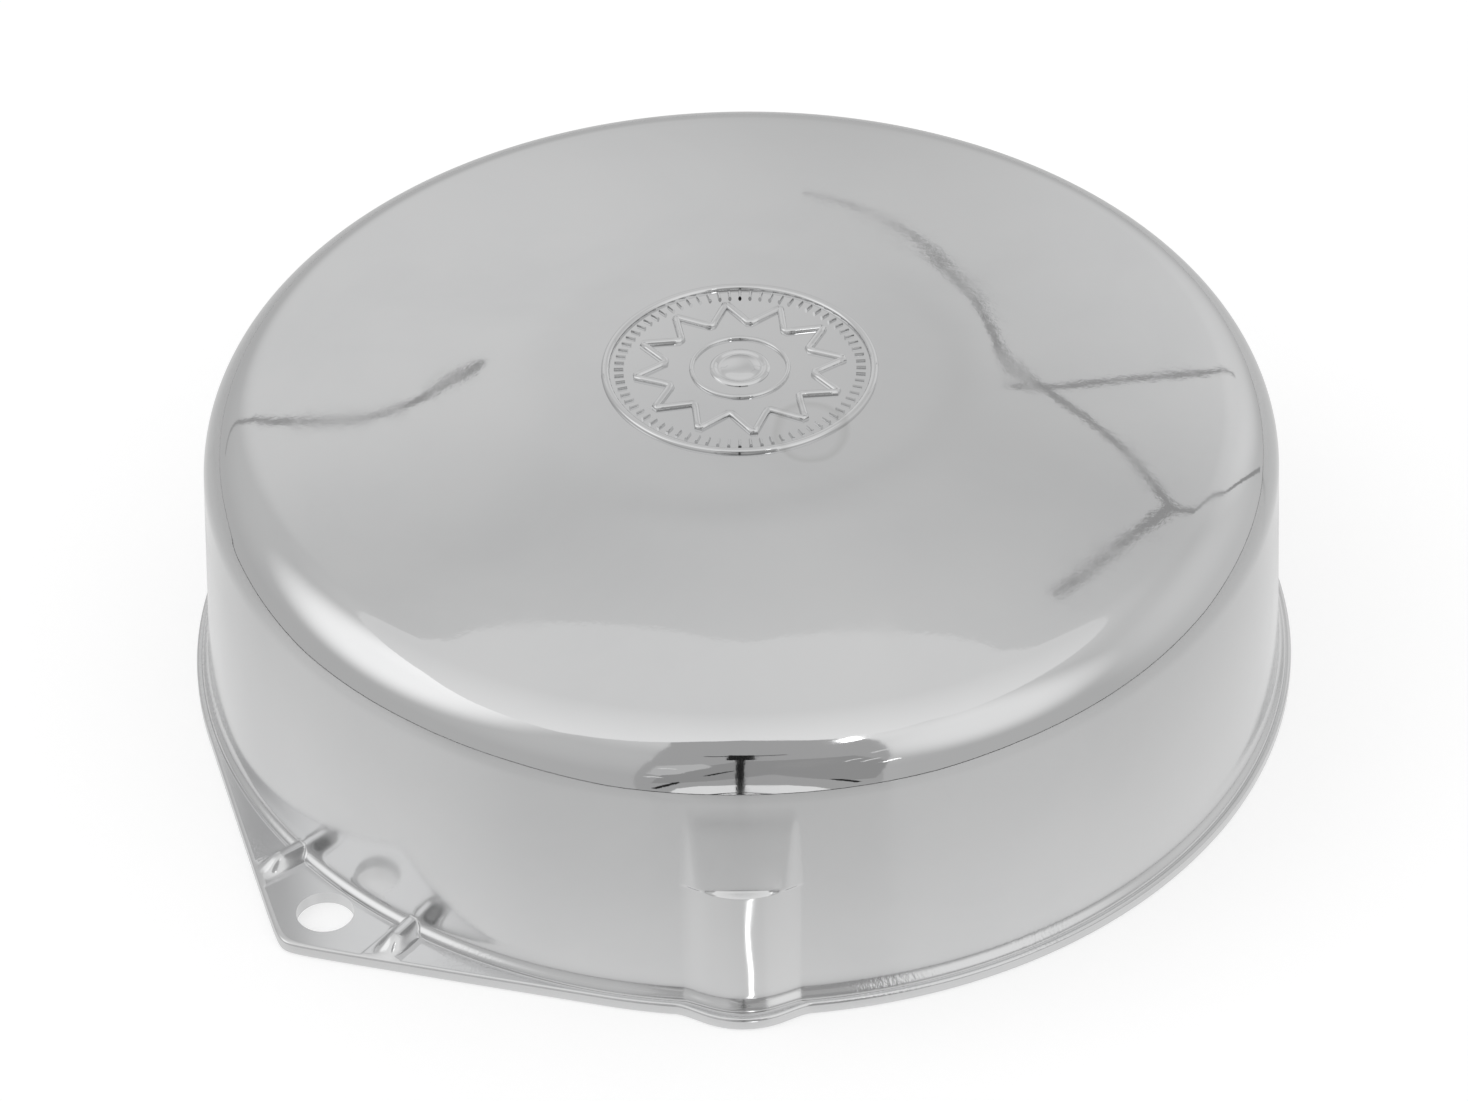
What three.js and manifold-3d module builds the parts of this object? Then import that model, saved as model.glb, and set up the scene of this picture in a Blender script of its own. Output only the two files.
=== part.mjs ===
// Round air filter housing of a small engine: a chromed die-cast cover over a pressed back plate,
// with a pleated ring filter on a stud inside. Millimetres, +Z up, origin on the housing's axis in
// the plane of the cover's flange. The two cover screws lie on the Y axis.

import * as THREE from "three";
import { mergeVertices } from "three/addons/utils/BufferGeometryUtils.js";
import Module from "manifold-3d";

const wasm = await Module();
wasm.setup();

// ---- Driving dimensions ----

const COVER_SEGMENTS = 56;
const PART_SEGMENTS = 32;
const ROUND_SEGMENTS = 24;
const SMALL_SEGMENTS = 12;
const RIVET_SEGMENTS = 8;

const flange = { radius: 65.5, thickness: 1.6, edge: 0.4 };
const bead = { radius: 64.6, step: 0.1, lean: 0.3, top: 2.3 };
const wall = {
  footRadius: 63.9,
  footZ: 3.0,
  footThickness: 2.7,
  topRadius: 62.8,
  topZ: 29.4,
  thickness: 2.2,
};
const shoulder = { radius: 8.1, slopeDeg: 9 };
const dome = { kneeRadius: 32, kneeZ: 40.15, plateauRadius: 25, plateauZ: 40.85, crownZ: 41.3 };
const mouth = { radius: 62.4, depth: 2.4 };

const boss = { reach: 65.6, radius: 11, halfWidth: 6.6, draft: 0.4, top: 28.4, innerReach: 55.4 };
const ledge = { z: 17.7, depth: 1.1 };
const bump = { reach: 67.6, radius: 9.5 };
const screwCircle = 59.8;
const tabRecess = { radius: 4.4, depth: 5.6, inner: 50, panRadius: 57.6 };
const screwBore = { radius: 2.2, depth: 16.2 };

const ear = { azimuthDeg: 226, tip: 75.7, tipRadius: 1.4, hole: 3.3, holeAt: 68.5 };
const rib = { spreadDeg: 8.3, width: 2.1, top: 3.3, slope: 1.6, inner: 62.8, outer: 69 };
const emblem = { relief: 0.4, line: 0.9, ring: 16, star: 12.6, valley: 8.6, hub: 3.6, points: 12 };

const plate = { bottom: 3.2, thickness: 1.2, rim: 61.9, rimInner: 56.6, raised: 54.6, outlet: 16 };
const tab = { halfWidth: 4.1, hole: 2.3 };
const slots = { count: 12, width: 3.6, inner: 44.8, outer: 52.4 };
const seat = plate.bottom + plate.thickness;

const screen = { inner: 44, outer: 53.4, thickness: 0.5, margin: 0.4, rivetAt: 48.6, rivets: 4 };
const screenRivet = { shank: 1.15, hole: 1.3, head: 1.9 };
const bridgeRivet = { shank: 1.35, hole: 1.5, head: 2.4 };
const grommet = { bore: 13, lip: 19, upperLip: 18.2, low: 1, high: 6.6, gap: 0.3, bevel: 0.7 };
const bridge = {
  halfSpan: 25.4,
  riserAt: 19.3,
  lean: 1,
  width: 9,
  thickness: 1.2,
  top: 10.8,
  rivetAt: 22.9,
};
const stud = { radius: 2.5, top: 37.4, bevel: 0.7, collar: 4.2, collarHeight: 1.3, clearance: 0.25 };
const studNut = { acrossFlats: 8, height: 3, clearance: 0.15 };
const gasket = { inner: 59.4, rightDeg: [-83, 83], leftDeg: [97, 263], steps: 20 };

const screw = { radius: 2, tip: 16, head: 3.3, low: 0.3, high: 2.3, bevel: 0.5 };
const socket = { radius: 1.75, depth: 1.2 };
const screwWasher = { inner: 2.15, outer: 3.7, low: 2.4, high: 3.1 };

const element = { inner: 26.5, outer: 43.5, low: 6.4, high: 29.4, sheet: 0.7, lip: 3.8 };
const media = { inner: 29.2, outer: 41, paper: 0.8, pleats: 26, convex: 0.8, concave: 0.32 };
const core = { radius: 28.4, wall: 0.8, rows: 2, columns: 8, hole: 3.6 };
const mesh = { radius: 42.3, wall: 0.6, rows: 2, columns: 10, height: 7.6, width: 20 };
const crown = { radius: 10, rise: 1.7, run: 1.5 };
const feltRing = { inner: 28, outer: 42 };
const contact = 0.1;

// ---- Materials ----

function material(colour, roughness, metalness) {
  return new THREE.MeshStandardMaterial({ color: colour, roughness, metalness });
}

const chrome = material(0xd8d9da, 0.08, 1);
const zincPlate = material(0xb4b6b2, 0.38, 1);
const steel = material(0x9b9da0, 0.32, 1);
const brassYellow = material(0xbfa76a, 0.35, 1);
const rubber = material(0x1d1d1e, 0.8, 0);
const felt = material(0x6f6a61, 0.95, 0);
const paper = material(0xd9b36a, 0.85, 0);
const gauze = material(0x8d9092, 0.45, 1);

// ---- Solid helpers ----

function solid(geometry) {
  const bare = geometry.clone();
  bare.deleteAttribute("normal");
  bare.deleteAttribute("uv");
  const merged = mergeVertices(bare, 1e-4);
  return new wasm.Manifold(new wasm.Mesh({
    numProp: 3,
    vertProperties: new Float32Array(merged.attributes.position.array),
    triVerts: new Uint32Array(merged.index.array),
  }));
}

function geometryOf(manifold) {
  const result = manifold.getMesh();
  const geometry = new THREE.BufferGeometry();
  geometry.setAttribute("position", new THREE.BufferAttribute(result.vertProperties, 3));
  geometry.setIndex(new THREE.BufferAttribute(result.triVerts, 1));
  geometry.computeVertexNormals();
  return geometry;
}

function join(...manifolds) {
  return manifolds.reduce((sum, next) => sum.add(next));
}

function cut(body, ...tools) {
  return tools.reduce((rest, tool) => rest.subtract(tool), body);
}

function polar(radius, angleDeg) {
  const angle = THREE.MathUtils.degToRad(angleDeg);
  return new THREE.Vector2(radius * Math.cos(angle), radius * Math.sin(angle));
}

// A profile of [radius, z] points, anticlockwise, turned about the Z axis.
function turned(points, segments) {
  const profile = points.map(([radius, z]) => new THREE.Vector2(radius, z));
  const onAxis = profile[0].x === 0 && profile[profile.length - 1].x === 0;
  if (!onAxis) profile.push(profile[0].clone());
  return solid(new THREE.LatheGeometry(profile, segments).rotateX(Math.PI / 2));
}

function ring(inner, outer, low, high, segments) {
  return turned([[inner, low], [outer, low], [outer, high], [inner, high]], segments);
}

function disc(radius, low, high, segments) {
  return turned([[0, low], [radius, low], [radius, high], [0, high]], segments);
}

function block(width, depth, low, high) {
  const box = new THREE.BoxGeometry(width, depth, high - low);
  return solid(box.translate(0, 0, (low + high) / 2));
}

function extruded(outline, low, high, holes = []) {
  const shape = new THREE.Shape(outline);
  holes.forEach((hole) => shape.holes.push(new THREE.Path(hole)));
  const geometry = new THREE.ExtrudeGeometry(shape, { depth: high - low, bevelEnabled: false });
  return solid(geometry.translate(0, 0, low));
}

function circlePoints(radius, count, phaseDeg = 0) {
  return Array.from({ length: count }, (_, i) => polar(radius, phaseDeg + (360 * i) / count));
}

function named(name, manifold, look) {
  const result = new THREE.Mesh(geometryOf(manifold), look);
  result.name = name;
  return result;
}

// ---- Cover shell ----

// The outside from the top of the wall, round the shoulder, up the cone and over the plateau.
function domeOutline() {
  const draft = Math.atan2(wall.footRadius - wall.topRadius, wall.topZ - wall.footZ);
  const centreR = wall.topRadius - shoulder.radius * Math.cos(draft);
  const centreZ = wall.topZ - shoulder.radius * Math.sin(draft);
  const end = Math.PI / 2 - THREE.MathUtils.degToRad(shoulder.slopeDeg);
  const points = [];
  const steps = 5;
  for (let i = 0; i <= steps; i += 1) {
    const angle = draft + ((end - draft) * i) / steps;
    points.push([
      centreR + shoulder.radius * Math.cos(angle),
      centreZ + shoulder.radius * Math.sin(angle),
    ]);
  }
  const last = points[points.length - 1];
  const curve = new THREE.SplineCurve([
    new THREE.Vector2(...last),
    new THREE.Vector2((last[0] + dome.kneeRadius) / 2, (last[1] + dome.kneeZ) / 2 + 0.12),
    new THREE.Vector2(dome.kneeRadius, dome.kneeZ),
    new THREE.Vector2(dome.plateauRadius, dome.plateauZ),
    new THREE.Vector2(dome.plateauRadius / 2, (dome.plateauZ + 3 * dome.crownZ) / 4),
    new THREE.Vector2(0, dome.crownZ),
  ]);
  curve.getPoints(8).slice(1).forEach((point) => points.push([Math.max(point.x, 0), point.y]));
  return points;
}

// The same outline, moved along its normals by an offset.
function shifted(points, offset) {
  return points.map(([radius, z], i) => {
    const [r0, z0] = points[Math.max(i - 1, 0)];
    const [r1, z1] = points[Math.min(i + 1, points.length - 1)];
    const length = Math.hypot(r1 - r0, z1 - z0);
    if (i === points.length - 1) return [0, z + offset];
    return [radius + (offset * (z1 - z0)) / length, z - (offset * (r1 - r0)) / length];
  });
}

function shellBody() {
  const outside = domeOutline();
  const inside = shifted(outside, -wall.thickness).filter((_, i) => i % 3 !== 1).reverse();
  const footInside = wall.footRadius - wall.footThickness;
  const rim = [
    [flange.radius - flange.edge, 0],
    [flange.radius, flange.edge],
    [flange.radius, flange.thickness - flange.edge],
    [flange.radius - flange.edge, flange.thickness],
    [bead.radius, flange.thickness + bead.step],
    [bead.radius - bead.lean, bead.top],
    [wall.footRadius, wall.footZ],
  ];
  return turned([[footInside, 0], ...rim, ...outside, ...inside], COVER_SEGMENTS);
}

// A cast boss on the wall: full and round below its ledge, cut back above it.
function bossBody(side) {
  const cutBack = boss.reach - ledge.depth;
  const centre = boss.reach - boss.radius;
  const column = disc(boss.radius, 0, wall.topZ, PART_SEGMENTS).translate([0, side * centre, 0]);
  const limits = turned([
    [boss.innerReach, 0],
    [boss.reach + 1, 0],
    [boss.reach - boss.draft, ledge.z],
    [cutBack - boss.draft, ledge.z + boss.draft],
    [wall.topRadius, boss.top],
    [boss.innerReach, boss.top],
  ], COVER_SEGMENTS);
  const width = block(2 * boss.halfWidth, 2 * boss.reach, -1, wall.topZ);
  return column.intersect(limits).intersect(width);
}

function bumpBody(side) {
  const centre = bump.reach - bump.radius;
  return disc(bump.radius, 0, flange.thickness, PART_SEGMENTS).translate([0, side * centre, 0]);
}

// The fixing ear: two edges tangent to the flange that meet in a rounded tip.
function earBody() {
  const half = Math.acos(flange.radius / ear.tip);
  const halfDeg = THREE.MathUtils.radToDeg(half);
  const centre = ear.tip - ear.tipRadius / Math.cos(half);
  const outline = [polar(flange.radius, -halfDeg)];
  for (let i = 0; i <= 4; i += 1) {
    const turn = -halfDeg + (2 * halfDeg * i) / 4;
    outline.push(polar(ear.tipRadius, turn).add(new THREE.Vector2(centre, 0)));
  }
  outline.push(polar(flange.radius, halfDeg), new THREE.Vector2(mouth.radius / 2, 0));
  return extruded(outline, 0, flange.thickness).rotate([0, 0, ear.azimuthDeg]);
}

function earHole() {
  const hole = disc(ear.hole, -1, flange.thickness + 1, ROUND_SEGMENTS);
  return hole.translate([ear.holeAt, 0, 0]).rotate([0, 0, ear.azimuthDeg]);
}

// One radial rib on the ear, sloping down at its outer end.
function ribBody(turnDeg) {
  const profile = [
    [rib.inner, 0],
    [rib.outer, 0],
    [rib.outer, flange.thickness],
    [rib.outer - rib.slope, rib.top],
    [rib.inner, rib.top],
  ];
  const shape = new THREE.Shape(profile.map(([radius, z]) => new THREE.Vector2(radius, z)));
  const bar = new THREE.ExtrudeGeometry(shape, { depth: rib.width, bevelEnabled: false });
  bar.rotateX(Math.PI / 2).translate(0, rib.width / 2, 0);
  return solid(bar).rotate([0, 0, turnDeg]);
}

// A generic badge: a ring round the star outline of a pleated filter, with a plain hub.
function emblemBody() {
  const count = emblem.points * 2;
  const star = (shrink) => Array.from({ length: count }, (_, i) => {
    const radius = (i % 2 ? emblem.valley : emblem.star) - shrink;
    return polar(radius, (360 * i) / count);
  });
  const low = dome.plateauZ - 1;
  const high = dome.crownZ + 2;
  const lines = join(
    ring(emblem.ring - emblem.line, emblem.ring, low, high, PART_SEGMENTS),
    extruded(star(0), low, high, [star(emblem.line * 1.3)]),
    disc(emblem.hub, low, high, SMALL_SEGMENTS),
  );
  const raised = shifted(domeOutline(), emblem.relief);
  const cap = turned([[0, low], [raised[0][0], low], ...raised.slice(-6)], PART_SEGMENTS);
  return lines.intersect(cap);
}

function coverShell() {
  const sides = [-1, 1];
  const body = join(
    shellBody(),
    ...sides.map(bossBody),
    ...sides.map(bumpBody),
    earBody(),
    ...sides.map((side) => ribBody(ear.azimuthDeg + side * rib.spreadDeg)),
    emblemBody(),
  );
  const recess = (side) => {
    const middle = (screwCircle + tabRecess.inner) / 2;
    const channel = block(2 * tabRecess.radius, screwCircle - tabRecess.inner, -1, tabRecess.depth);
    return join(
      disc(tabRecess.radius, -1, tabRecess.depth, ROUND_SEGMENTS)
        .translate([0, side * screwCircle, 0]),
      channel.translate([0, side * middle, 0]),
    );
  };
  const bore = (side) => {
    const drill = disc(screwBore.radius, 0, screwBore.depth, SMALL_SEGMENTS);
    return drill.translate([0, side * screwCircle, 0]);
  };
  return cut(
    body,
    earHole(),
    disc(mouth.radius, -1, mouth.depth, COVER_SEGMENTS),
    disc(tabRecess.panRadius, -1, tabRecess.depth, COVER_SEGMENTS),
    ...sides.map(recess),
    ...sides.map(bore),
  );
}

// ---- Back plate and what is fixed to it ----

function radialSlots(width, inner, outer, low, high) {
  const length = outer - inner;
  const shape = new THREE.Shape();
  shape.absarc(length / 2 - width / 2, 0, width / 2, -Math.PI / 2, Math.PI / 2, false);
  shape.absarc(width / 2 - length / 2, 0, width / 2, Math.PI / 2, (3 * Math.PI) / 2, false);
  const outline = shape.getPoints(2);
  const cutter = extruded(outline, low, high).translate([(inner + outer) / 2, 0, 0]);
  const step = 360 / slots.count;
  const turns = Array.from({ length: slots.count }, (_, i) => step * (i + 0.5));
  return join(...turns.map((turn) => cutter.rotate([0, 0, turn])));
}

function tabFootprint(side, low, high) {
  const root = plate.raised - 1;
  const middle = (screwCircle + root) / 2;
  return join(
    disc(tab.halfWidth, low, high, ROUND_SEGMENTS).translate([0, side * screwCircle, 0]),
    block(2 * tab.halfWidth, screwCircle - root, low, high).translate([0, side * middle, 0]),
  );
}

// Holes of one radius through the plate and what lies on it, at the places given.
function drilled(radius, places, segments) {
  return places.map(([x, y]) => disc(radius, -1, seat + 1, segments).translate([x, y, 0]));
}

function backPlate() {
  const sides = [-1, 1];
  const slope = plate.rimInner - plate.raised;
  const pan = turned([
    [plate.outlet, plate.bottom],
    [plate.raised, plate.bottom],
    [plate.rimInner, 0],
    [plate.rim, 0],
    [plate.rim, plate.thickness],
    [plate.rimInner + slope / 4, plate.thickness],
    [plate.raised + slope / 4, seat],
    [plate.outlet, seat],
  ], COVER_SEGMENTS);
  const tabs = sides.map((side) => tabFootprint(side, plate.bottom, seat));
  const pockets = sides.map((side) => tabFootprint(side, -1, plate.bottom));
  return cut(
    join(cut(pan, ...pockets), ...tabs),
    radialSlots(slots.width, slots.inner, slots.outer, 0, seat + 1),
    ...drilled(tab.hole, sides.map((side) => [0, side * screwCircle]), SMALL_SEGMENTS),
    ...drilled(bridgeRivet.hole, sides.map((side) => [side * bridge.rivetAt, 0]), SMALL_SEGMENTS),
    ...drilled(screenRivet.hole, screenRivetPlaces(), RIVET_SEGMENTS),
  );
}

function screenRivetPlaces() {
  return circlePoints(screen.rivetAt, screen.rivets).map(({ x, y }) => [x, y]);
}

function inletScreen() {
  const low = seat;
  const high = seat + screen.thickness;
  const half = screen.margin / 2;
  const windows = radialSlots(
    slots.width + screen.margin,
    slots.inner - half,
    slots.outer + half,
    low - 1,
    high + 1,
  );
  const holes = drilled(screenRivet.hole, screenRivetPlaces(), RIVET_SEGMENTS);
  return cut(ring(screen.inner, screen.outer, low, high, PART_SEGMENTS), windows, ...holes);
}

// A rivet through a stack of sheet from bottom to top, with a domed head at each end.
function rivetBody({ shank, head }, bottom, top) {
  const rise = head * 0.45;
  const brow = [head * 0.6, rise * 0.8];
  return turned([
    [0, bottom - rise],
    [brow[0], bottom - brow[1]],
    [head, bottom],
    [shank, bottom],
    [shank, top],
    [head, top],
    [brow[0], top + brow[1]],
    [0, top + rise],
  ], RIVET_SEGMENTS);
}

// A rubber ring whose groove holds the edge of the plate's outlet.
function carbGrommet() {
  const { bore, lip, upperLip, low, high, gap, bevel } = grommet;
  const groove = plate.outlet - gap;
  return turned([
    [bore, low],
    [lip - bevel, low],
    [lip, low + bevel],
    [lip, plate.bottom - gap],
    [groove, plate.bottom - gap],
    [groove, seat + gap],
    [upperLip, seat + gap],
    [upperLip, high - bevel],
    [upperLip - bevel, high],
    [bore, high],
  ], PART_SEGMENTS);
}

// The strap that carries the stud over the outlet, seen from the side and extruded across.
function studBridge() {
  const low = seat;
  const under = bridge.top - bridge.thickness;
  const right = [
    [bridge.halfSpan, low],
    [bridge.halfSpan, low + bridge.thickness],
    [bridge.riserAt + bridge.thickness, low + bridge.thickness],
    [bridge.riserAt + bridge.thickness - bridge.lean, bridge.top],
  ];
  const inner = [
    [bridge.riserAt - bridge.lean, under],
    [bridge.riserAt, low],
  ];
  const mirrored = (list) => list.map(([x, z]) => [-x, z]).reverse();
  const outline = [...right, ...mirrored(right), ...mirrored(inner), ...inner];
  const points = outline.map(([x, z]) => new THREE.Vector2(x, z));
  const strap = new THREE.ExtrudeGeometry(new THREE.Shape(points), {
    depth: bridge.width,
    bevelEnabled: false,
  });
  strap.rotateX(Math.PI / 2).translate(0, bridge.width / 2, 0);
  const holes = [-1, 1].map((side) => (
    disc(bridgeRivet.hole, 0, bridge.top, SMALL_SEGMENTS).translate([side * bridge.rivetAt, 0, 0])
  ));
  const studHole = disc(stud.radius + stud.clearance, 0, bridge.top + 1, SMALL_SEGMENTS);
  return cut(solid(strap), studHole, ...holes);
}

function centreStud() {
  const under = bridge.top - bridge.thickness;
  return turned([
    [0, under - stud.collarHeight],
    [stud.collar, under - stud.collarHeight],
    [stud.collar, under - contact],
    [stud.radius, under - contact],
    [stud.radius, stud.top - stud.bevel],
    [stud.radius - stud.bevel, stud.top],
    [0, stud.top],
  ], SMALL_SEGMENTS);
}

function hexNut(acrossFlats, bore, height) {
  const corner = acrossFlats / Math.sqrt(3);
  const prism = extruded(circlePoints(corner, 6), 0, height);
  const chamfer = turned([
    [0, 0],
    [corner, 0],
    [corner, height * 0.75],
    [acrossFlats / 2, height],
    [0, height],
  ], ROUND_SEGMENTS);
  return cut(prism.intersect(chamfer), disc(bore, -1, height + 1, SMALL_SEGMENTS));
}

function rimGasket([fromDeg, toDeg]) {
  const step = (toDeg - fromDeg) / gasket.steps;
  const arc = (radius) => Array.from({ length: gasket.steps + 1 }, (_, i) => (
    polar(radius, fromDeg + step * i)
  ));
  const outline = [...arc(plate.rim), ...arc(gasket.inner).reverse()];
  return extruded(outline, plate.thickness, mouth.depth - contact);
}

// ---- Cover screws ----

// A cap screw with a hexagon socket, head down.
function coverScrew() {
  const { radius, tip, head, low, high, bevel } = screw;
  const body = turned([
    [0, low],
    [head - bevel, low],
    [head, low + bevel],
    [head, high],
    [radius, high],
    [radius, tip - bevel],
    [radius - bevel, tip],
    [0, tip],
  ], SMALL_SEGMENTS);
  return cut(body, extruded(circlePoints(socket.radius, 6), low - 1, low + socket.depth));
}

// ---- Filter element ----

// A pressed ring with a lip turned down over the outside of the paper.
function lowerEndCap() {
  const { inner, outer, low, sheet, lip } = element;
  return turned([
    [inner, low],
    [outer, low],
    [outer, low + lip],
    [outer - sheet, low + lip],
    [outer - sheet, low + sheet],
    [inner + sheet, low + sheet],
    [inner + sheet, low + lip],
    [inner, low + lip],
  ], PART_SEGMENTS);
}

// The closed upper cap, with a raised middle that the stud passes through.
function upperEndCap() {
  const { outer, high, sheet, lip } = element;
  const { radius, rise, run } = crown;
  const hole = stud.radius + stud.clearance;
  return turned([
    [hole, high - sheet + rise],
    [radius, high - sheet + rise],
    [radius + run, high - sheet],
    [outer - sheet, high - sheet],
    [outer - sheet, high - lip],
    [outer, high - lip],
    [outer, high],
    [radius + run + sheet, high],
    [radius + sheet, high + rise],
    [hole, high + rise],
  ], PART_SEGMENTS);
}

// Paper folded into a star: each pleat runs out and back, with one thickness of paper.
function pleatedMedia() {
  const { inner, outer, paper: thickness, pleats, convex, concave } = media;
  const pitch = 360 / pleats;
  const halfDeg = (radius, share) => THREE.MathUtils.radToDeg((share * thickness) / radius);
  const outside = [];
  const inside = [];
  const fold = (list, radius, middle, share) => {
    const half = halfDeg(radius, share);
    list.push(polar(radius, middle - half), polar(radius, middle + half));
  };
  for (let i = 0; i < pleats; i += 1) {
    const crest = pitch * i;
    const valley = crest + pitch / 2;
    fold(outside, outer, crest, convex);
    fold(outside, inner + thickness, valley, concave);
    fold(inside, outer - thickness, crest, concave);
    fold(inside, inner, valley, convex);
  }
  const low = element.low + element.sheet + contact;
  const high = element.high - element.sheet - contact;
  return extruded(outside, low, high, [inside]);
}

// A tube between the end caps, with rows of openings that are staggered from row to row.
function perforatedTube(radius, thickness, rows, columns, opening) {
  const low = element.low + element.sheet + contact;
  const high = element.high - element.sheet - contact;
  const tube = ring(radius - thickness, radius, low, high, PART_SEGMENTS);
  const cutters = [];
  for (let row = 0; row < rows; row += 1) {
    const z = low + ((high - low) * (row + 0.5)) / rows;
    for (let column = 0; column < columns; column += 1) {
      const angle = (360 * (column + (row % 2) / 2)) / columns;
      cutters.push(opening.translate([radius, 0, z]).rotate([0, 0, angle]));
    }
  }
  return cut(tube, join(...cutters));
}

function innerCore() {
  const hole = disc(core.hole, -2, 2, 6).rotate([0, 90, 0]);
  return perforatedTube(core.radius, core.wall, core.rows, core.columns, hole);
}

function outerMesh() {
  const diamond = extruded([
    new THREE.Vector2(mesh.height / 2, 0),
    new THREE.Vector2(0, mesh.width / 2),
    new THREE.Vector2(-mesh.height / 2, 0),
    new THREE.Vector2(0, -mesh.width / 2),
  ], -2, 2).rotate([0, 90, 0]);
  return perforatedTube(mesh.radius, mesh.wall, mesh.rows, mesh.columns, diamond);
}

function elementGasket() {
  return ring(feltRing.inner, feltRing.outer, seat + contact, element.low - contact, PART_SEGMENTS);
}

// ---- What clamps the element ----

const clampBase = element.high + crown.rise + contact;
const clampStack = { seal: 1, sealRadius: 7, washer: 1, washerRadius: 8.5, clearance: 0.25 };
const clampBore = stud.radius + clampStack.clearance;
const washerBase = clampBase + clampStack.seal + contact;
const nutBase = washerBase + clampStack.washer + contact;

const wingHub = { foot: 4.4, top: 3.6, height: 2.6 };
const wingShape = {
  thickness: 1.8,
  root: [2.9, 0.3, 2.4],
  under: [6, 0.5],
  outerBend: [11.4, 1.2],
  tip: [11, 2.9],
  upperBend: [9.6, 4],
  shoulder: [7.4, 3],
};

function wingBody(side) {
  const { thickness, root, under, outerBend, tip, upperBend, shoulder: top } = wingShape;
  const shape = new THREE.Shape();
  shape.moveTo(side * root[0], root[1]);
  shape.lineTo(side * under[0], under[1]);
  shape.quadraticCurveTo(side * outerBend[0], outerBend[1], side * tip[0], tip[1]);
  shape.quadraticCurveTo(side * upperBend[0], upperBend[1], side * top[0], top[1]);
  shape.lineTo(side * root[0], root[2]);
  const wing = new THREE.ExtrudeGeometry(shape, {
    depth: thickness,
    bevelEnabled: false,
    curveSegments: 4,
  });
  return solid(wing.rotateX(Math.PI / 2).translate(0, thickness / 2, 0));
}

function wingNut() {
  const { foot, top, height } = wingHub;
  const hub = turned([[0, 0], [foot, 0], [top, height], [0, height]], PART_SEGMENTS);
  const bore = disc(clampBore, -1, 2 * height, SMALL_SEGMENTS);
  return cut(join(hub, wingBody(-1), wingBody(1)), bore);
}

// ---- Assembly ----

const backAssembly = new THREE.Group();
backAssembly.add(named("back_plate", backPlate(), zincPlate));
backAssembly.add(named("inlet_screen", inletScreen(), gauze));
backAssembly.add(named("carb_grommet", carbGrommet(), rubber));
backAssembly.add(named("stud_bridge", studBridge(), zincPlate));
backAssembly.add(named("centre_stud", centreStud(), steel));
backAssembly.add(named("rim_gasket_right", rimGasket(gasket.rightDeg), rubber));
backAssembly.add(named("rim_gasket_left", rimGasket(gasket.leftDeg), rubber));

const { acrossFlats, height: nutHeight, clearance: nutClearance } = studNut;
const nutBody = hexNut(acrossFlats, stud.radius + nutClearance, nutHeight);
const bridgeNut = named("stud_nut", nutBody, brassYellow);
bridgeNut.position.z = bridge.top + contact;
backAssembly.add(bridgeNut);

[-1, 1].forEach((side, i) => {
  const body = rivetBody(bridgeRivet, plate.bottom, seat + bridge.thickness);
  const rivet = named(`bridge_rivet_${i + 1}`, body, steel);
  rivet.position.x = side * bridge.rivetAt;
  backAssembly.add(rivet);
});

screenRivetPlaces().forEach(([x, y], i) => {
  const body = rivetBody(screenRivet, plate.bottom, seat + screen.thickness);
  const rivet = named(`screen_rivet_${i + 1}`, body, steel);
  rivet.position.set(x, y, 0);
  backAssembly.add(rivet);
});

const screws = new THREE.Group();
[["front", -1], ["rear", 1]].forEach(([end, side]) => {
  const { inner, outer, low, high } = screwWasher;
  const retainerBase = seat + contact;
  const washer = ring(inner, outer, low, high, SMALL_SEGMENTS);
  const retainer = ring(inner, outer, retainerBase, retainerBase + high - low, SMALL_SEGMENTS);
  const fastener = new THREE.Group();
  fastener.position.y = side * screwCircle;
  fastener.add(named(`cover_screw_${end}`, coverScrew(), steel));
  fastener.add(named(`screw_washer_${end}`, washer, zincPlate));
  fastener.add(named(`screw_retainer_${end}`, retainer, steel));
  screws.add(fastener);
});

const filterElement = new THREE.Group();
filterElement.add(named("element_gasket", elementGasket(), felt));
filterElement.add(named("lower_end_cap", lowerEndCap(), zincPlate));
filterElement.add(named("inner_core", innerCore(), gauze));
filterElement.add(named("pleated_media", pleatedMedia(), paper));
filterElement.add(named("outer_mesh", outerMesh(), gauze));
filterElement.add(named("upper_end_cap", upperEndCap(), zincPlate));

const { seal, sealRadius, washer: washerHeight, washerRadius } = clampStack;
const sealRing = ring(clampBore, sealRadius, clampBase, clampBase + seal, ROUND_SEGMENTS);
const clampRing = ring(clampBore, washerRadius, washerBase, washerBase + washerHeight, ROUND_SEGMENTS);
const clamp = new THREE.Group();
clamp.add(named("stud_seal", sealRing, rubber));
clamp.add(named("clamp_washer", clampRing, zincPlate));
const wing = named("wing_nut", wingNut(), brassYellow);
wing.position.z = nutBase;
clamp.add(wing);

const cover = new THREE.Group();
cover.add(named("cover_shell", coverShell(), chrome));

const housing = new THREE.Group();
housing.add(backAssembly, screws, filterElement, clamp, cover);

export default housing;
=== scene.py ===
"""Looks of a chromed air filter housing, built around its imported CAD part.

The frame is the CAD part in metres, +Z up, with the housing's axis at the origin. Dimensions below
are in millimetres, as in the CAD source, and mesh_object() turns them into metres.
"""

import math

import bmesh
import bpy
import numpy as np
from mathutils import Matrix, Vector


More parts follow.
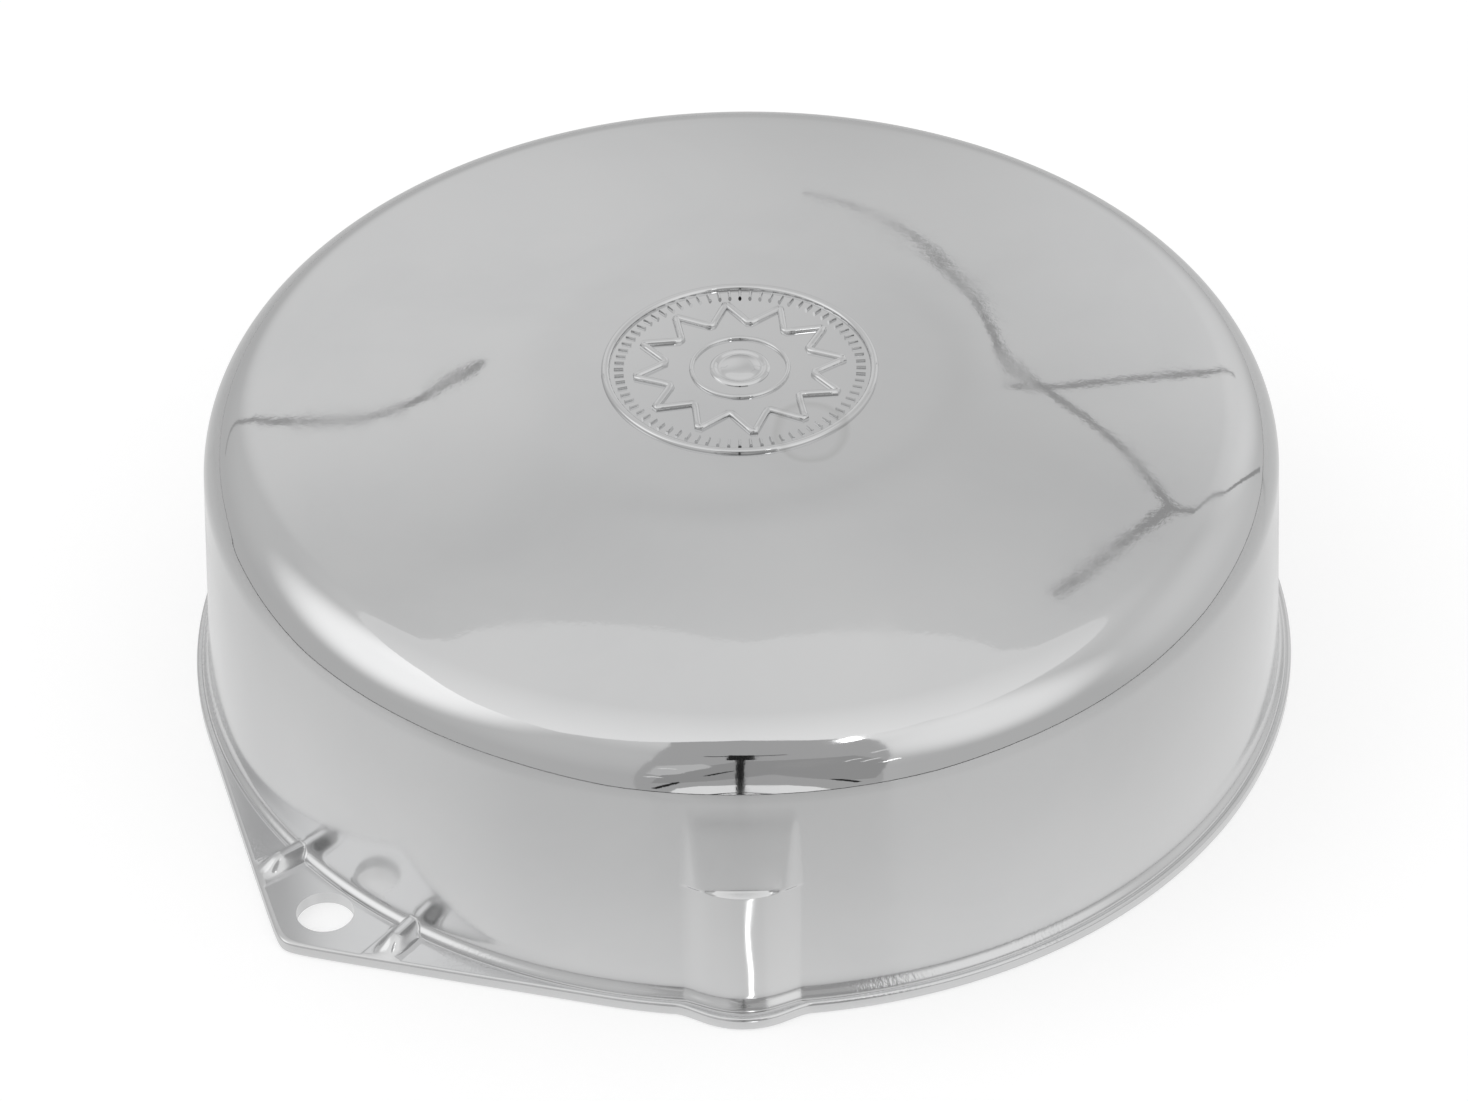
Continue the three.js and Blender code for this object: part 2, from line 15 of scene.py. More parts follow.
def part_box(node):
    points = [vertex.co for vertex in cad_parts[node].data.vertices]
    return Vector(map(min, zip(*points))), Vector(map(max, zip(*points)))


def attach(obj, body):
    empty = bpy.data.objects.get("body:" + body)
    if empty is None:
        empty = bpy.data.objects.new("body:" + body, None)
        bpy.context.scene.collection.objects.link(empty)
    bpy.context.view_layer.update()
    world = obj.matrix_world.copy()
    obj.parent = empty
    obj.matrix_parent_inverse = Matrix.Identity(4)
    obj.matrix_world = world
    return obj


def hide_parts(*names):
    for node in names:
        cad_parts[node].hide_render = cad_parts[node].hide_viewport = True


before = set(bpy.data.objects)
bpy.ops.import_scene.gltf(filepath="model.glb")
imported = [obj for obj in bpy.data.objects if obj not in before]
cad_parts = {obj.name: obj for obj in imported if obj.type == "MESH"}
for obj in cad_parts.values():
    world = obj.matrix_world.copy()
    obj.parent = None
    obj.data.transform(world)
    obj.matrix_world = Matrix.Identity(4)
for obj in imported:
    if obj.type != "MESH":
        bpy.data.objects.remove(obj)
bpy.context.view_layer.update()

MM = 0.001
TAU = 2 * math.pi
FRONT, REAR = math.radians(270), math.radians(90)


def extent(node):
    """A CAD node's lowest and highest corners at rest, in millimetres."""
    low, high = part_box(node)
    return np.array(low) / MM, np.array(high) / MM


def centre_of(node):
    """The middle of a CAD node's box at rest, in millimetres."""
    low, high = extent(node)
    return (low + high) / 2


# ---- Places of the CAD nodes that several pieces share ----

SCREW_AT = centre_of("cover_screw_rear")[1]
RIVETS_AT = [centre_of(f"screen_rivet_{i}")[:2] for i in range(1, 5)]
STRAP_RIVET_AT = centre_of("bridge_rivet_2")[0]
PLATE_SHEET = 1.2
PLATE_TOP = extent("back_plate")[1][2]
PLATE_LOW = PLATE_TOP - PLATE_SHEET
CAP_LOW = extent("lower_end_cap")[0][2]
CAP_TOP = extent("upper_end_cap")[1][2]

# ---- Dimensions of the cover, in millimetres ----

WALL = {"foot_r": 63.9, "foot_z": 3.0, "top_r": 62.8, "top_z": 29.4}
SHOULDER = {"radius": 8.1, "slope": 9.0}
DOME = {
    "plateau": 1.0, "plateau_to": 18, "knee": 5.2, "knee_from": 20.5, "knee_to": 31.5,
    "cone_from": 30,
}
SHEET = 2.2
FLANGE = {"radius": 65.5, "thickness": 1.6, "edge": 0.35}
BOSS = {
    "centre": 58.6, "radius": 6.9, "inner": 55.4,
    "ledge_z": 17.7, "cut_low": 63.8, "top_z": 28.4,
}
BUMP = {"centre": 58.1, "radius": 9.5}
EAR = {"azimuth": math.radians(226), "tip": 75.7, "hole": 3.3, "hole_at": 68.5}
RIB = {
    "spread": math.radians(8.3), "inner": 0.1, "outer": 2.1,
    "top": 3.2, "from": 66.6, "to": 71.0,
}

# ---- Radii of the holes and screw places that several pieces share ----

RIVET_HOLE, STRAP_RIVET_HOLE, STUD_HOLE = 1.3, 1.5, 2.75
PLATE_SCREW_HOLE, WASHER_HOLE = 2.3, 2.15
SCREW_TAB, COVER_RECESS, COVER_RECESS_TOP = 4.1, 4.4, 5.6
COVER_BORE, COVER_BORE_TOP = 2.2, 16.2

# ---- Small helpers ----


def smoothstep(low, high, x):
    """Rises smoothly from 0 to 1 while x goes from low to high."""
    t = np.clip((np.asarray(x, float) - low) / (high - low), 0, 1)
    return t * t * t * (t * (6 * t - 15) + 10)


def smooth_max(a, b, width):
    """The larger of two numbers, with a fillet about width wide where they meet."""
    gap = np.clip(width - np.abs(a - b), 0, None) / width
    return np.maximum(a, b) + gap * gap * width / 4


def smooth_min(a, b, width):
    """The smaller of two numbers, with a fillet about width wide where they meet."""
    return -smooth_max(-np.asarray(a, float), -np.asarray(b, float), width)


def mesh_object(name, vertices, faces, sharp_deg=35):
    """An object from millimetre vertices, smooth apart from edges sharper than an angle."""
    mesh = bpy.data.meshes.new(name)
    mesh.from_pydata((np.asarray(vertices, float) * MM).tolist(), [], faces)
    mesh.validate()
    mesh.update()
    mesh.shade_smooth()
    mesh.set_sharp_from_angle(angle=math.radians(sharp_deg))
    made = bpy.data.objects.new(name, mesh)
    bpy.context.scene.collection.objects.link(made)
    return made


def grid_faces(rows, columns, closed_rows=False):
    """Quads of a grid whose columns run all the way round; with closed_rows the rows do too."""
    faces = []
    last = rows if closed_rows else rows - 1
    for i in range(last):
        near, far = i * columns, ((i + 1) % rows) * columns
        for j in range(columns):
            k = (j + 1) % columns
            faces.append((near + j, near + k, far + k, far + j))
    return faces


def finish_mesh(made, sharp_deg=35):
    """Face normals outwards, then smooth shading again after a mesh has been changed."""
    work = bmesh.new()
    work.from_mesh(made.data)
    bmesh.ops.recalc_face_normals(work, faces=work.faces)
    work.to_mesh(made.data)
    work.free()
    made.data.shade_smooth()
    made.data.set_sharp_from_angle(angle=math.radians(sharp_deg))
    return made


def boolean(made, tools, operation):
    """made joined with, or cut by, the tools, which are then removed."""
    for tool in tools:
        modifier = made.modifiers.new("boolean", "BOOLEAN")
        modifier.operation = operation
        modifier.solver = "MANIFOLD"
        modifier.object = tool
    graph = bpy.context.evaluated_depsgraph_get()
    graph.update()
    changed = bpy.data.meshes.new_from_object(made.evaluated_get(graph))
    made.modifiers.clear()
    made.data = changed
    for tool in tools:
        bpy.data.objects.remove(tool)
    return made


def rounded(profile, radius, steps=4):
    """A closed profile of (r, z, optional corner radius) points with its corners rounded."""
    points = [tuple(p[:2]) for p in profile]
    radii = [p[2] if len(p) > 2 else radius for p in profile]
    out = []
    count = len(points)
    for i in range(count):
        here = np.array(points[i])
        before, after = np.array(points[i - 1]), np.array(points[(i + 1) % count])
        a, b = before - here, after - here
        la, lb = np.linalg.norm(a), np.linalg.norm(b)
        a, b = a / la, b / lb
        opening = math.acos(max(-1.0, min(1.0, float(a @ b))))
        if radii[i] <= 0 or opening > math.pi - 0.05 or here[0] == 0:
            out.append(here)
            continue
        reach = min(radii[i] / math.tan(opening / 2), 0.45 * la, 0.45 * lb)
        r = reach * math.tan(opening / 2)
        bisector = (a + b) / np.linalg.norm(a + b)
        centre = here + bisector * (r / math.sin(opening / 2))
        start, end = here + a * reach - centre, here + b * reach - centre
        for k in range(steps + 1):
            t = k / steps
            arc = start * (1 - t) + end * t
            out.append(centre + arc / np.linalg.norm(arc) * r)
    return out


def round_skin(name, turn, rows, low, high, sharp_deg):
    """A closed skin from rows of (radius, height) round the axis, between points on the axis."""
    cos, sin, level = np.cos(turn), np.sin(turn), 0 * turn
    body = [np.stack([(r + level) * cos, (r + level) * sin, z + level], -1) for r, z in rows]
    vertices = np.concatenate(body + [[[0, 0, low], [0, 0, high]]])
    columns, foot, top = len(turn), len(vertices) - 2, len(vertices) - 1
    faces = grid_faces(len(rows), columns)
    last = (len(rows) - 1) * columns
    for j in range(columns):
        k = (j + 1) % columns
        faces += [(foot, k, j), (top, last + j, last + k)]
    return mesh_object(name, vertices, faces, sharp_deg)


def lathe(name, profile, segments=96, sharp_deg=35):
    """A profile of (r, z) turned about the Z axis: closed, or from the axis round to the axis."""
    points = [(float(p[0]), float(p[1])) for p in profile]
    turn = TAU * np.arange(segments) / segments
    if min(r for r, _ in points) < 1e-6:
        return round_skin(name, turn, points[1:-1], points[0][1], points[-1][1], sharp_deg)
    cos, sin = np.cos(turn), np.sin(turn)
    rows = [np.stack([r * cos, r * sin, np.full(segments, z)], -1) for r, z in points]
    faces = grid_faces(len(points), segments, True)
    return mesh_object(name, np.concatenate(rows), faces, sharp_deg)


# ---- Camera, where the photograph's was ----

VIEW = {
    "lens": 147.14, "sensor": 36, "distance": 712.1,
    "elevation": 39.257, "azimuth": 0.6, "roll": 0.864,
}
TARGET = (-1.0, 0.0, 13.9)


def make_camera():
    """Looks down on the housing from the front, with the photograph's slight roll."""
    data = bpy.data.cameras.new("camera")
    data.lens, data.sensor_width = VIEW["lens"], VIEW["sensor"]
    camera = bpy.data.objects.new("camera", data)
    bpy.context.scene.collection.objects.link(camera)
    turn = Matrix.Rotation(math.radians(VIEW["azimuth"]), 4, "Z")
    rise, roll = math.radians(VIEW["elevation"]), math.radians(VIEW["roll"])
    back = Vector((0, -math.cos(rise), math.sin(rise)))
    right = Vector((1, 0, 0))
    up = back.cross(right)
    rolled_right = right * math.cos(roll) - up * math.sin(roll)
    rolled_up = up * math.cos(roll) + right * math.sin(roll)
    axes = Matrix((rolled_right, rolled_up, back)).transposed().to_4x4()
    place = Vector(TARGET) * MM + back * VIEW["distance"] * MM
    camera.matrix_world = turn @ Matrix.Translation(place) @ axes
    bpy.context.scene.camera = camera


make_camera()

# ---- Materials ----


class Look:
    """A node material built from object coordinates in metres."""

    def __init__(self, name, **constants):
        """Starts a material whose shader sockets have those constant values."""
        self.material = bpy.data.materials.new(name)
        self.material.use_nodes = True
        self.tree = self.material.node_tree
        self.shader = self.tree.nodes["Principled BSDF"]
        for socket, value in constants.items():
            self.shader.inputs[socket.replace("_", " ")].default_value = value
        self.place = self.node("ShaderNodeTexCoord").outputs["Object"]
        self.height = None

    def node(self, kind, **settings):
        """A new node with those settings."""
        made = self.tree.nodes.new(kind)
        for key, value in settings.items():
            setattr(made, key, value)
        return made

    def link(self, a, b):
        """Joins an output socket to an input socket."""
        self.tree.links.new(a, b)

    def stretched(self, x, y, z):
        """The object coordinates, scaled along each axis."""
        mapping = self.node("ShaderNodeMapping")
        mapping.inputs["Scale"].default_value = (x, y, z)
        self.link(self.place, mapping.inputs["Vector"])
        return mapping.outputs["Vector"]

    def noise(self, scale, detail=3.0, rough=0.5, vector=None, distortion=0.0):
        """A cloudy pattern from 0 to 1."""
        made = self.node("ShaderNodeTexNoise")
        made.inputs["Scale"].default_value = scale
        made.inputs["Detail"].default_value = detail
        made.inputs["Roughness"].default_value = rough
        made.inputs["Distortion"].default_value = distortion
        self.link(vector or self.place, made.inputs["Vector"])
        return made.outputs["Fac"]

    def cells(self, scale, vector):
        """The outputs of a pattern of cells."""
        made = self.node("ShaderNodeTexVoronoi")
        made.inputs["Scale"].default_value = scale
        self.link(vector, made.inputs["Vector"])
        return made.outputs

    def ramp(self, source, stops):
        """Colours or greys by value, from (value, colour) stops."""
        made = self.node("ShaderNodeValToRGB")
        elements = made.color_ramp.elements
        while len(elements) < len(stops):
            elements.new(0.5)
        for element, (at, value) in zip(elements, stops):
            element.position = at
            colour = value if isinstance(value, tuple) else (value, value, value)
            element.color = (*colour, 1)
        self.link(source, made.inputs["Fac"])
        return made.outputs["Color"]

    def spread(self, source, low, high, at=(0.3, 0.7)):
        """A value taken from the range at to the range from low to high."""
        made = self.node("ShaderNodeMapRange")
        made.inputs["From Min"].default_value, made.inputs["From Max"].default_value = at
        made.inputs["To Min"].default_value, made.inputs["To Max"].default_value = low, high
        self.link(source, made.inputs["Value"])
        return made.outputs["Result"]

    def ring_marks(self, scale, band):
        """The outlines that dried drops leave, in some of the cells of a pattern."""
        warp = self.node("ShaderNodeVectorMath", operation="MULTIPLY_ADD")
        wobble = self.node("ShaderNodeTexNoise")
        wobble.inputs["Scale"].default_value = 60
        self.link(self.place, wobble.inputs["Vector"])
        self.link(wobble.outputs["Color"], warp.inputs[0])
        warp.inputs[1].default_value = (0.006, 0.006, 0.009)
        self.link(self.place, warp.inputs[2])
        cells = self.cells(scale, warp.outputs["Vector"])
        inner, line, outer = band
        ring = self.ramp(cells["Distance"], [(inner, 0.05), (line, 1.0), (outer, 0.0)])
        chosen = self.ramp(cells["Color"], [(0.47, 0.0), (0.52, 0.34)])
        return self.calculated("MULTIPLY", ring, chosen)

    def calculated(self, operation, a, b):
        """The result of a sum or product of two values."""
        both = self.node("ShaderNodeMath", operation=operation)
        self.link(a, both.inputs[0])
        self.link(b, both.inputs[1])
        return both.outputs["Value"]

    def mixed(self, colour, other, share):
        """A colour blended by a share towards another, constant one."""
        mix = self.node("ShaderNodeMixRGB")
        self.link(share, mix.inputs["Fac"])
        self.link(colour, mix.inputs["Color1"])
        mix.inputs["Color2"].default_value = (*other, 1)
        return mix.outputs["Color"]

    def colour(self, source):
        """Takes the surface's colour from a socket."""
        self.link(source, self.shader.inputs["Base Color"])

    def roughness(self, source):
        """Takes the surface's roughness from a socket."""
        self.link(source, self.shader.inputs["Roughness"])

    def bump(self, source, distance, strength=1.0):
        """A relief of that depth in metres, added to the ones before it."""
        made = self.node("ShaderNodeBump")
        made.inputs["Distance"].default_value = distance
        made.inputs["Strength"].default_value = strength
        self.link(source, made.inputs["Height"])
        if self.height is not None:
            self.link(self.height, made.inputs["Normal"])
        self.height = made.outputs["Normal"]
        self.link(self.height, self.shader.inputs["Normal"])


def chrome_look():
    """Bright plating on a casting: a slight swell, faint clouds and water marks, and fine pits."""
    look = Look("bright_chrome", Metallic=1.0)
    cloud = look.noise(28, 5, 0.6, distortion=0.4)
    tones = [(0.3, (0.675, 0.678, 0.682)), (0.5, (0.7, 0.702, 0.705)), (0.7, (0.715, 0.716, 0.717))]
    tone = look.ramp(cloud, tones)
    marks = look.ring_marks(24, (0.085, 0.11, 0.125))
    look.colour(look.mixed(tone, (0.5, 0.5, 0.49), marks))
    haze = look.spread(look.noise(45, 7, 0.66, distortion=1.2), 0.03, 0.11, (0.45, 0.78))
    height = look.node("ShaderNodeSeparateXYZ")
    look.link(look.place, height.inputs["Vector"])
    wall = look.spread(height.outputs["Z"], 0.1, 0.0, (0.025, 0.029))
    look.roughness(look.calculated("ADD", haze, wall))
    foot = look.spread(height.outputs["Z"], 1.0, 0.0, (0.002, 0.005))
    patches = look.spread(look.noise(38, 2), 0.0, 1.0, (0.5, 0.62))
    lines = look.noise(2400, 2, 0.6, look.stretched(1, 1, 0.04))
    grinding = look.calculated("MULTIPLY", lines, foot)
    look.bump(look.calculated("MULTIPLY", grinding, patches), 0.0001, 0.8)
    look.bump(look.noise(42, 1, 0.4), 0.00011, 0.4)
    look.bump(look.noise(160, 3, 0.5), 0.00001, 0.5)
    look.bump(look.noise(1500, 3, 0.6), 0.0000022, 0.6)
    return look.material


def noisy_look(name, tone, rough=None, relief=(), **constants):
    """A look from noises: colour stops, a roughness range, and bumps of (noise, depth, strength).

    A noise is its scale, detail, roughness, stretch along Z and distortion.
    """
    look = Look(name, **constants)
    noises = {}

    def noise(scale, detail, rough=0.5, along_z=1, distortion=0.0):
        """The pattern of one noise, made once however often it is used."""
        key = (scale, detail, rough, along_z, distortion)
        if key not in noises:
            place = look.stretched(1, 1, along_z) if along_z != 1 else None
            noises[key] = look.noise(scale, detail, rough, place, distortion)
        return noises[key]

    source, stops = tone
    look.colour(look.ramp(noise(*source), stops))
    if rough:
        source, low, high = rough
        look.roughness(look.spread(noise(*source), low, high))
    for source, depth, strength in relief:
        look.bump(noise(*source), depth, strength)
    return look.material


MATERIALS = {
    "chrome": chrome_look(),
    "chrome_inside": noisy_look(
        "cast_inside",
        ((60, 5, 0.6), [(0.3, (0.36, 0.365, 0.37)), (0.7, (0.46, 0.465, 0.47))]),
        ((240, 4), 0.3, 0.52),
        [((1400, 4, 0.65), 0.00002, 0.5)], Metallic=1.0),
    "zinc_plate": noisy_look(
        "zinc_plating",
        ((120, 4, 0.6, 1, 0.8),
         [(0.28, (0.56, 0.57, 0.59)), (0.5, (0.64, 0.64, 0.61)), (0.72, (0.6, 0.61, 0.64))]),
        ((420, 5, 0.6), 0.2, 0.4),
        [((1900, 3, 0.6), 0.000008, 0.5), ((5200, 2, 0.5), 0.000003, 0.5)], Metallic=1.0),
    "steel": noisy_look(
        "turned_steel",
        ((500, 4), [(0.3, (0.42, 0.42, 0.43)), (0.7, (0.55, 0.55, 0.56))]),
        ((900, 4, 0.6), 0.2, 0.38),
        [((300, 2, 0.5, 30), 0.000004, 0.5)], Metallic=1.0),
    "brass": noisy_look(
        "yellow_zinc",
        ((260, 4, 0.6, 1, 1.0),
         [(0.3, (0.7, 0.52, 0.24)), (0.5, (0.74, 0.6, 0.34)), (0.72, (0.62, 0.52, 0.38))]),
        ((800, 4), 0.22, 0.42),
        [((2600, 3, 0.6), 0.000008, 0.5)], Metallic=1.0),
    "rubber": noisy_look(
        "black_rubber",
        ((350, 5, 0.6), [(0.3, (0.018, 0.018, 0.019)), (0.7, (0.034, 0.034, 0.034))]),
        ((700, 4), 0.5, 0.75),
        [((2400, 4, 0.7), 0.00003, 0.5)]),
    "felt": noisy_look(
        "grey_felt",
        ((2200, 5, 0.75, 0.5, 2.5),
         [(0.3, (0.11, 0.1, 0.085)), (0.55, (0.19, 0.17, 0.145)), (0.75, (0.3, 0.28, 0.24))]),
        None,
        [((2200, 5, 0.75, 0.5, 2.5), 0.00015, 0.8), ((300, 3), 0.0001, 0.4)],
        Roughness=0.95, Sheen_Weight=0.5, Sheen_Roughness=0.6),
    "filter_paper": noisy_look(
        "filter_paper",
        ((1500, 6, 0.75, 1, 1.5),
         [(0.3, (0.5, 0.33, 0.12)), (0.5, (0.62, 0.43, 0.18)), (0.72, (0.72, 0.54, 0.27))]),
        None,
        [((1500, 6, 0.75, 1, 1.5), 0.00006, 0.7)], Roughness=0.85),
    "gauze": noisy_look(
        "bright_wire",
        ((400, 4), [(0.3, (0.46, 0.47, 0.48)), (0.7, (0.62, 0.62, 0.61))]),
        ((1100, 4), 0.24, 0.42),
        [((2600, 3), 0.000008, 0.4)], Metallic=1.0),
}

# ---- The cover's outside, as radius and height round the axis ----


def dome_slope(r, edge_r):
    """The outside's slope in degrees at a radius inside the shoulder."""
    plateau = DOME["plateau"] * smoothstep(0, DOME["plateau_to"], r)
    knee = DOME["knee"] * smoothstep(DOME["knee_from"], DOME["knee_to"], r)
    cone = SHOULDER["slope"] - DOME["plateau"] - DOME["knee"]
    span = DOME["cone_from"], edge_r + 4
    return plateau + knee + cone * smoothstep(*span, r) / smoothstep(*span, edge_r)


def dome_outline():
    """Points (r, z) from the top of the wall over the shoulder to the middle."""
    draft = math.atan2(WALL["foot_r"] - WALL["top_r"], WALL["top_z"] - WALL["foot_z"])
    radius = SHOULDER["radius"]
    centre_r = WALL["top_r"] - radius * math.cos(draft)
    centre_z = WALL["top_z"] - radius * math.sin(draft)
    turn = np.linspace(draft, math.pi / 2 - math.radians(SHOULDER["slope"]), 30)
    arc = np.stack([centre_r + radius * np.cos(turn), centre_z + radius * np.sin(turn)], -1)
    edge_r, edge_z = arc[-1]
    fine = np.linspace(edge_r, 0, 3001)
    steep = np.tan(np.radians(dome_slope(fine, edge_r)))
    rise = np.cumsum((steep[1:] + steep[:-1]) / 2 * (fine[0] - fine[1]))
    height = edge_z + np.concatenate([[0], rise])
    bands = [np.linspace(edge_r, 35, 16), np.linspace(35, 19, 25), np.linspace(19, 0.8, 14)]
    r = np.concatenate([bands[0][1:], bands[1][1:], bands[2][1:]])
    z = np.interp(-r, -fine, height)
    return arc, np.stack([r, z], -1), float(height[-1])


ARC, DOME_LINE, CROWN_Z = dome_outline()


def dome_z(r):
    """The height of the dome's outside at a radius."""
    line = np.concatenate([ARC[-1:], DOME_LINE, [[0, CROWN_Z]]])
    return np.interp(-np.asarray(r, float), -line[:, 0], line[:, 1])


def turned_by(azimuth, middle):
    """The angle from a middle azimuth, from -pi to pi."""
    return (azimuth - middle + math.pi) % TAU - math.pi


def disc_reach(azimuth, middle, centre, radius):
    """How far a disc centred at a radius on the middle azimuth reaches, or 0 beside it."""
    away = turned_by(azimuth, middle)
    inside = radius**2 - (centre * np.sin(away)) ** 2
    reach = centre * np.cos(away) + np.sqrt(np.clip(inside, 0, None))
    return np.where((inside > 0) & (np.abs(away) < 1), reach, 0.0)


def wall_radius(azimuth, z):
    """The wall with its two bosses, which are cut back above their ledges."""
    share = np.clip((z - WALL["foot_z"]) / (WALL["top_z"] - WALL["foot_z"]), -1, 1)
    plain = WALL["foot_r"] + (WALL["top_r"] - WALL["foot_r"]) * share
    fade = np.clip((z - BOSS["ledge_z"]) / (BOSS["top_z"] - BOSS["ledge_z"]), 0, 1)
    cut = BOSS["cut_low"] + (WALL["top_r"] - 0.15 - BOSS["cut_low"]) * fade
    step = smoothstep(BOSS["ledge_z"] - 0.12, BOSS["ledge_z"] + 0.3, z)
    lean = 0.4 * np.clip(z / BOSS["ledge_z"], 0, 1)
    result = plain + 0 * azimuth
    for middle in (FRONT, REAR):
        column = disc_reach(azimuth, middle, BOSS["centre"], BOSS["radius"])
        lower = np.where(column > 0, column - lean, 0)
        upper = smooth_min(column, cut, 0.5)
        bulge = np.where(column > 0, lower * (1 - step) + upper * step, 0)
        gone = smoothstep(BOSS["top_z"] - 3.2, BOSS["top_z"] + 1.0, z)
        fillet = 2.6 - 1.6 * fade
        result = np.maximum(result, smooth_max(result, bulge, fillet) * (1 - gone) + plain * gone)
    return result


def flange_radius(azimuth):
    """The flange's edge: a circle with a bump at each screw and the fixing ear."""
    edge = np.full_like(azimuth, FLANGE["radius"])
    for middle in (FRONT, REAR):
        edge = smooth_max(edge, disc_reach(azimuth, middle, BUMP["centre"], BUMP["radius"]), 1.2)
    half = math.acos(FLANGE["radius"] / EAR["tip"])
    away = turned_by(azimuth, EAR["azimuth"])
    line = FLANGE["radius"] / np.cos(np.clip(half - np.sqrt(away**2 + 0.016**2), 0, half))
    return np.where(np.abs(away) < half, np.maximum(edge, line), edge)


def azimuth_steps():
    """Azimuths round the cover, closer together at the bosses, the ear and its ribs."""
    widest, ear = 0.75, 226
    # Middle azimuth, half width and spacing, in degrees
    fine = [(270, 9.5, 0.2), (90, 9.5, 0.2), (ear, 31, 0.5)]
    fine += [(ear - 8.3, 2.2, 0.12), (ear + 8.3, 2.2, 0.12), (ear, 3, 0.15)]
    steps, at = [], 0.0
    while at < 360 - 0.05:
        steps.append(at)
        near = [s for middle, half, s in fine if abs((at - middle + 180) % 360 - 180) < half]
        at += min(near + [widest])
    return np.radians(steps)


AROUND = azimuth_steps()


# The inside wall's foot, and how the bosses stand in from it
INSIDE = {"foot_r": 61.2, "foot_z": 2.4, "recess_r": 57.6}
BOSS_HALF, BOSS_CEILING = (6.2, 7.0), (27.9, 28.5)
INSIDE_HEIGHTS = [28.9, 28.5, 28.3, 28.0, 24, 20, 16, 12, 8, 5.9, 5.6, 5.5, 4, 2.6, 2.4]
LIP = [(62.35, 2.38), (62.4, 2.3), (62.4, 0.12), (62.55, 0.0)]


def inner_rows():
    """The inside, from the middle of the dome out and down to the mouth's lip."""
    line = np.concatenate([ARC[::3], DOME_LINE[::3]])
    ahead = np.gradient(line, axis=0)
    ahead /= np.linalg.norm(ahead, axis=1)[:, None]
    shifted = line + SHEET * np.stack([-ahead[:, 1], ahead[:, 0]], -1)
    shifted = shifted[shifted[:, 0] > 0.5][::-1]
    rows = [(r, z) for r, z in shifted]
    start_r, start_z = shifted[-1]
    foot_r, foot_z = INSIDE["foot_r"], INSIDE["foot_z"]
    for z in (height for height in INSIDE_HEIGHTS if height <= start_z):
        plain = foot_r + (start_r - foot_r) * (z - foot_z) / (start_z - foot_z)
        inner = BOSS["inner"] if z > COVER_RECESS_TOP - 0.05 else INSIDE["recess_r"]
        present = 1 - smoothstep(*BOSS_CEILING, z)
        r = plain + 0 * AROUND
        for middle in (FRONT, REAR):
            side = np.abs(plain * np.sin(turned_by(AROUND, middle)))
            facing = np.cos(turned_by(AROUND, middle)) > 0
            share = np.where(facing, 1 - smoothstep(*BOSS_HALF, side), 0) * present
            r = r - (plain - inner) * share
        rows.append((r, z))
    return rows + LIP


def rib_height(radius, base):
    """The flange's top with the ear's two ribs on it."""
    height = base
    for side in (-1, 1):
        across = radius * np.sin(turned_by(AROUND, EAR["azimuth"] + side * RIB["spread"]))
        flank = 1 - smoothstep(RIB["inner"], RIB["outer"], np.abs(across))
        end = 1 - smoothstep(RIB["from"], RIB["to"], radius)
        tall = FLANGE["thickness"] + (RIB["top"] - FLANGE["thickness"]) * flank * end
        ribbed = smooth_max(height, np.where(flank > 0, tall, 0), 0.3)
        height = np.maximum(height, ribbed * (flank > 0))
    return height


# The fillet where the wall stands on the flange: distance out from the wall, and height
FOOT_FILLET = [
    (1.0, 1.62), (0.97, 1.76), (0.93, 1.92), (0.86, 2.07), (0.76, 2.21), (0.62, 2.35),
    (0.47, 2.49), (0.33, 2.66), (0.2, 2.88), (0.1, 3.15), (0.03, 3.5),
]
# Heights of the wall's rows, closer together at the ledges of the bosses
WALL_HEIGHTS = [
    3.9, 4.6, 5.6, 7, 8.5, 10, 11.5, 13, 14.5, 16, 16.8, 17.3, 17.5, 17.62, 17.72, 17.82, 17.95,
    18.1, 18.5, 19.2, 20.2, 21.5, 22.8, 24, 25.2, 26.2, 26.9, 27.5, 28.1, 28.7, 29.1,
]


def outer_rows():
    """The outside, from the flange's underside round its edge, up the wall and over the dome."""
    edge, rim = FLANGE["edge"], flange_radius(AROUND)
    thick = FLANGE["thickness"]
    foot = wall_radius(AROUND, WALL["foot_z"])
    rows = [(np.minimum(foot, 64.5), 0.0), (rim - edge, 0.0)]
    for turn in (30, 60, 90):
        turn = math.radians(turn)
        rows.append((rim - edge + edge * math.sin(turn), edge - edge * math.cos(turn)))
    for turn in (0, 30, 60, 90):
        turn = math.radians(turn)
        rows.append((rim - edge + edge * math.cos(turn), thick - edge + edge * math.sin(turn)))
    shelf_in = foot + 1.03
    shelf_out = rim - edge
    for share in np.linspace(0, 1, 22)[1:]:
        r = shelf_out + (shelf_in - shelf_out) * share
        rows.append((r, rib_height(r, thick + 0 * r)))
    for out, z in FOOT_FILLET:
        r = foot + out
        rows.append((r, rib_height(r, z + 0 * r)))
    rows += [(wall_radius(AROUND, z), z) for z in WALL_HEIGHTS]
    return rows + [tuple(p) for p in ARC] + [tuple(p) for p in DOME_LINE]


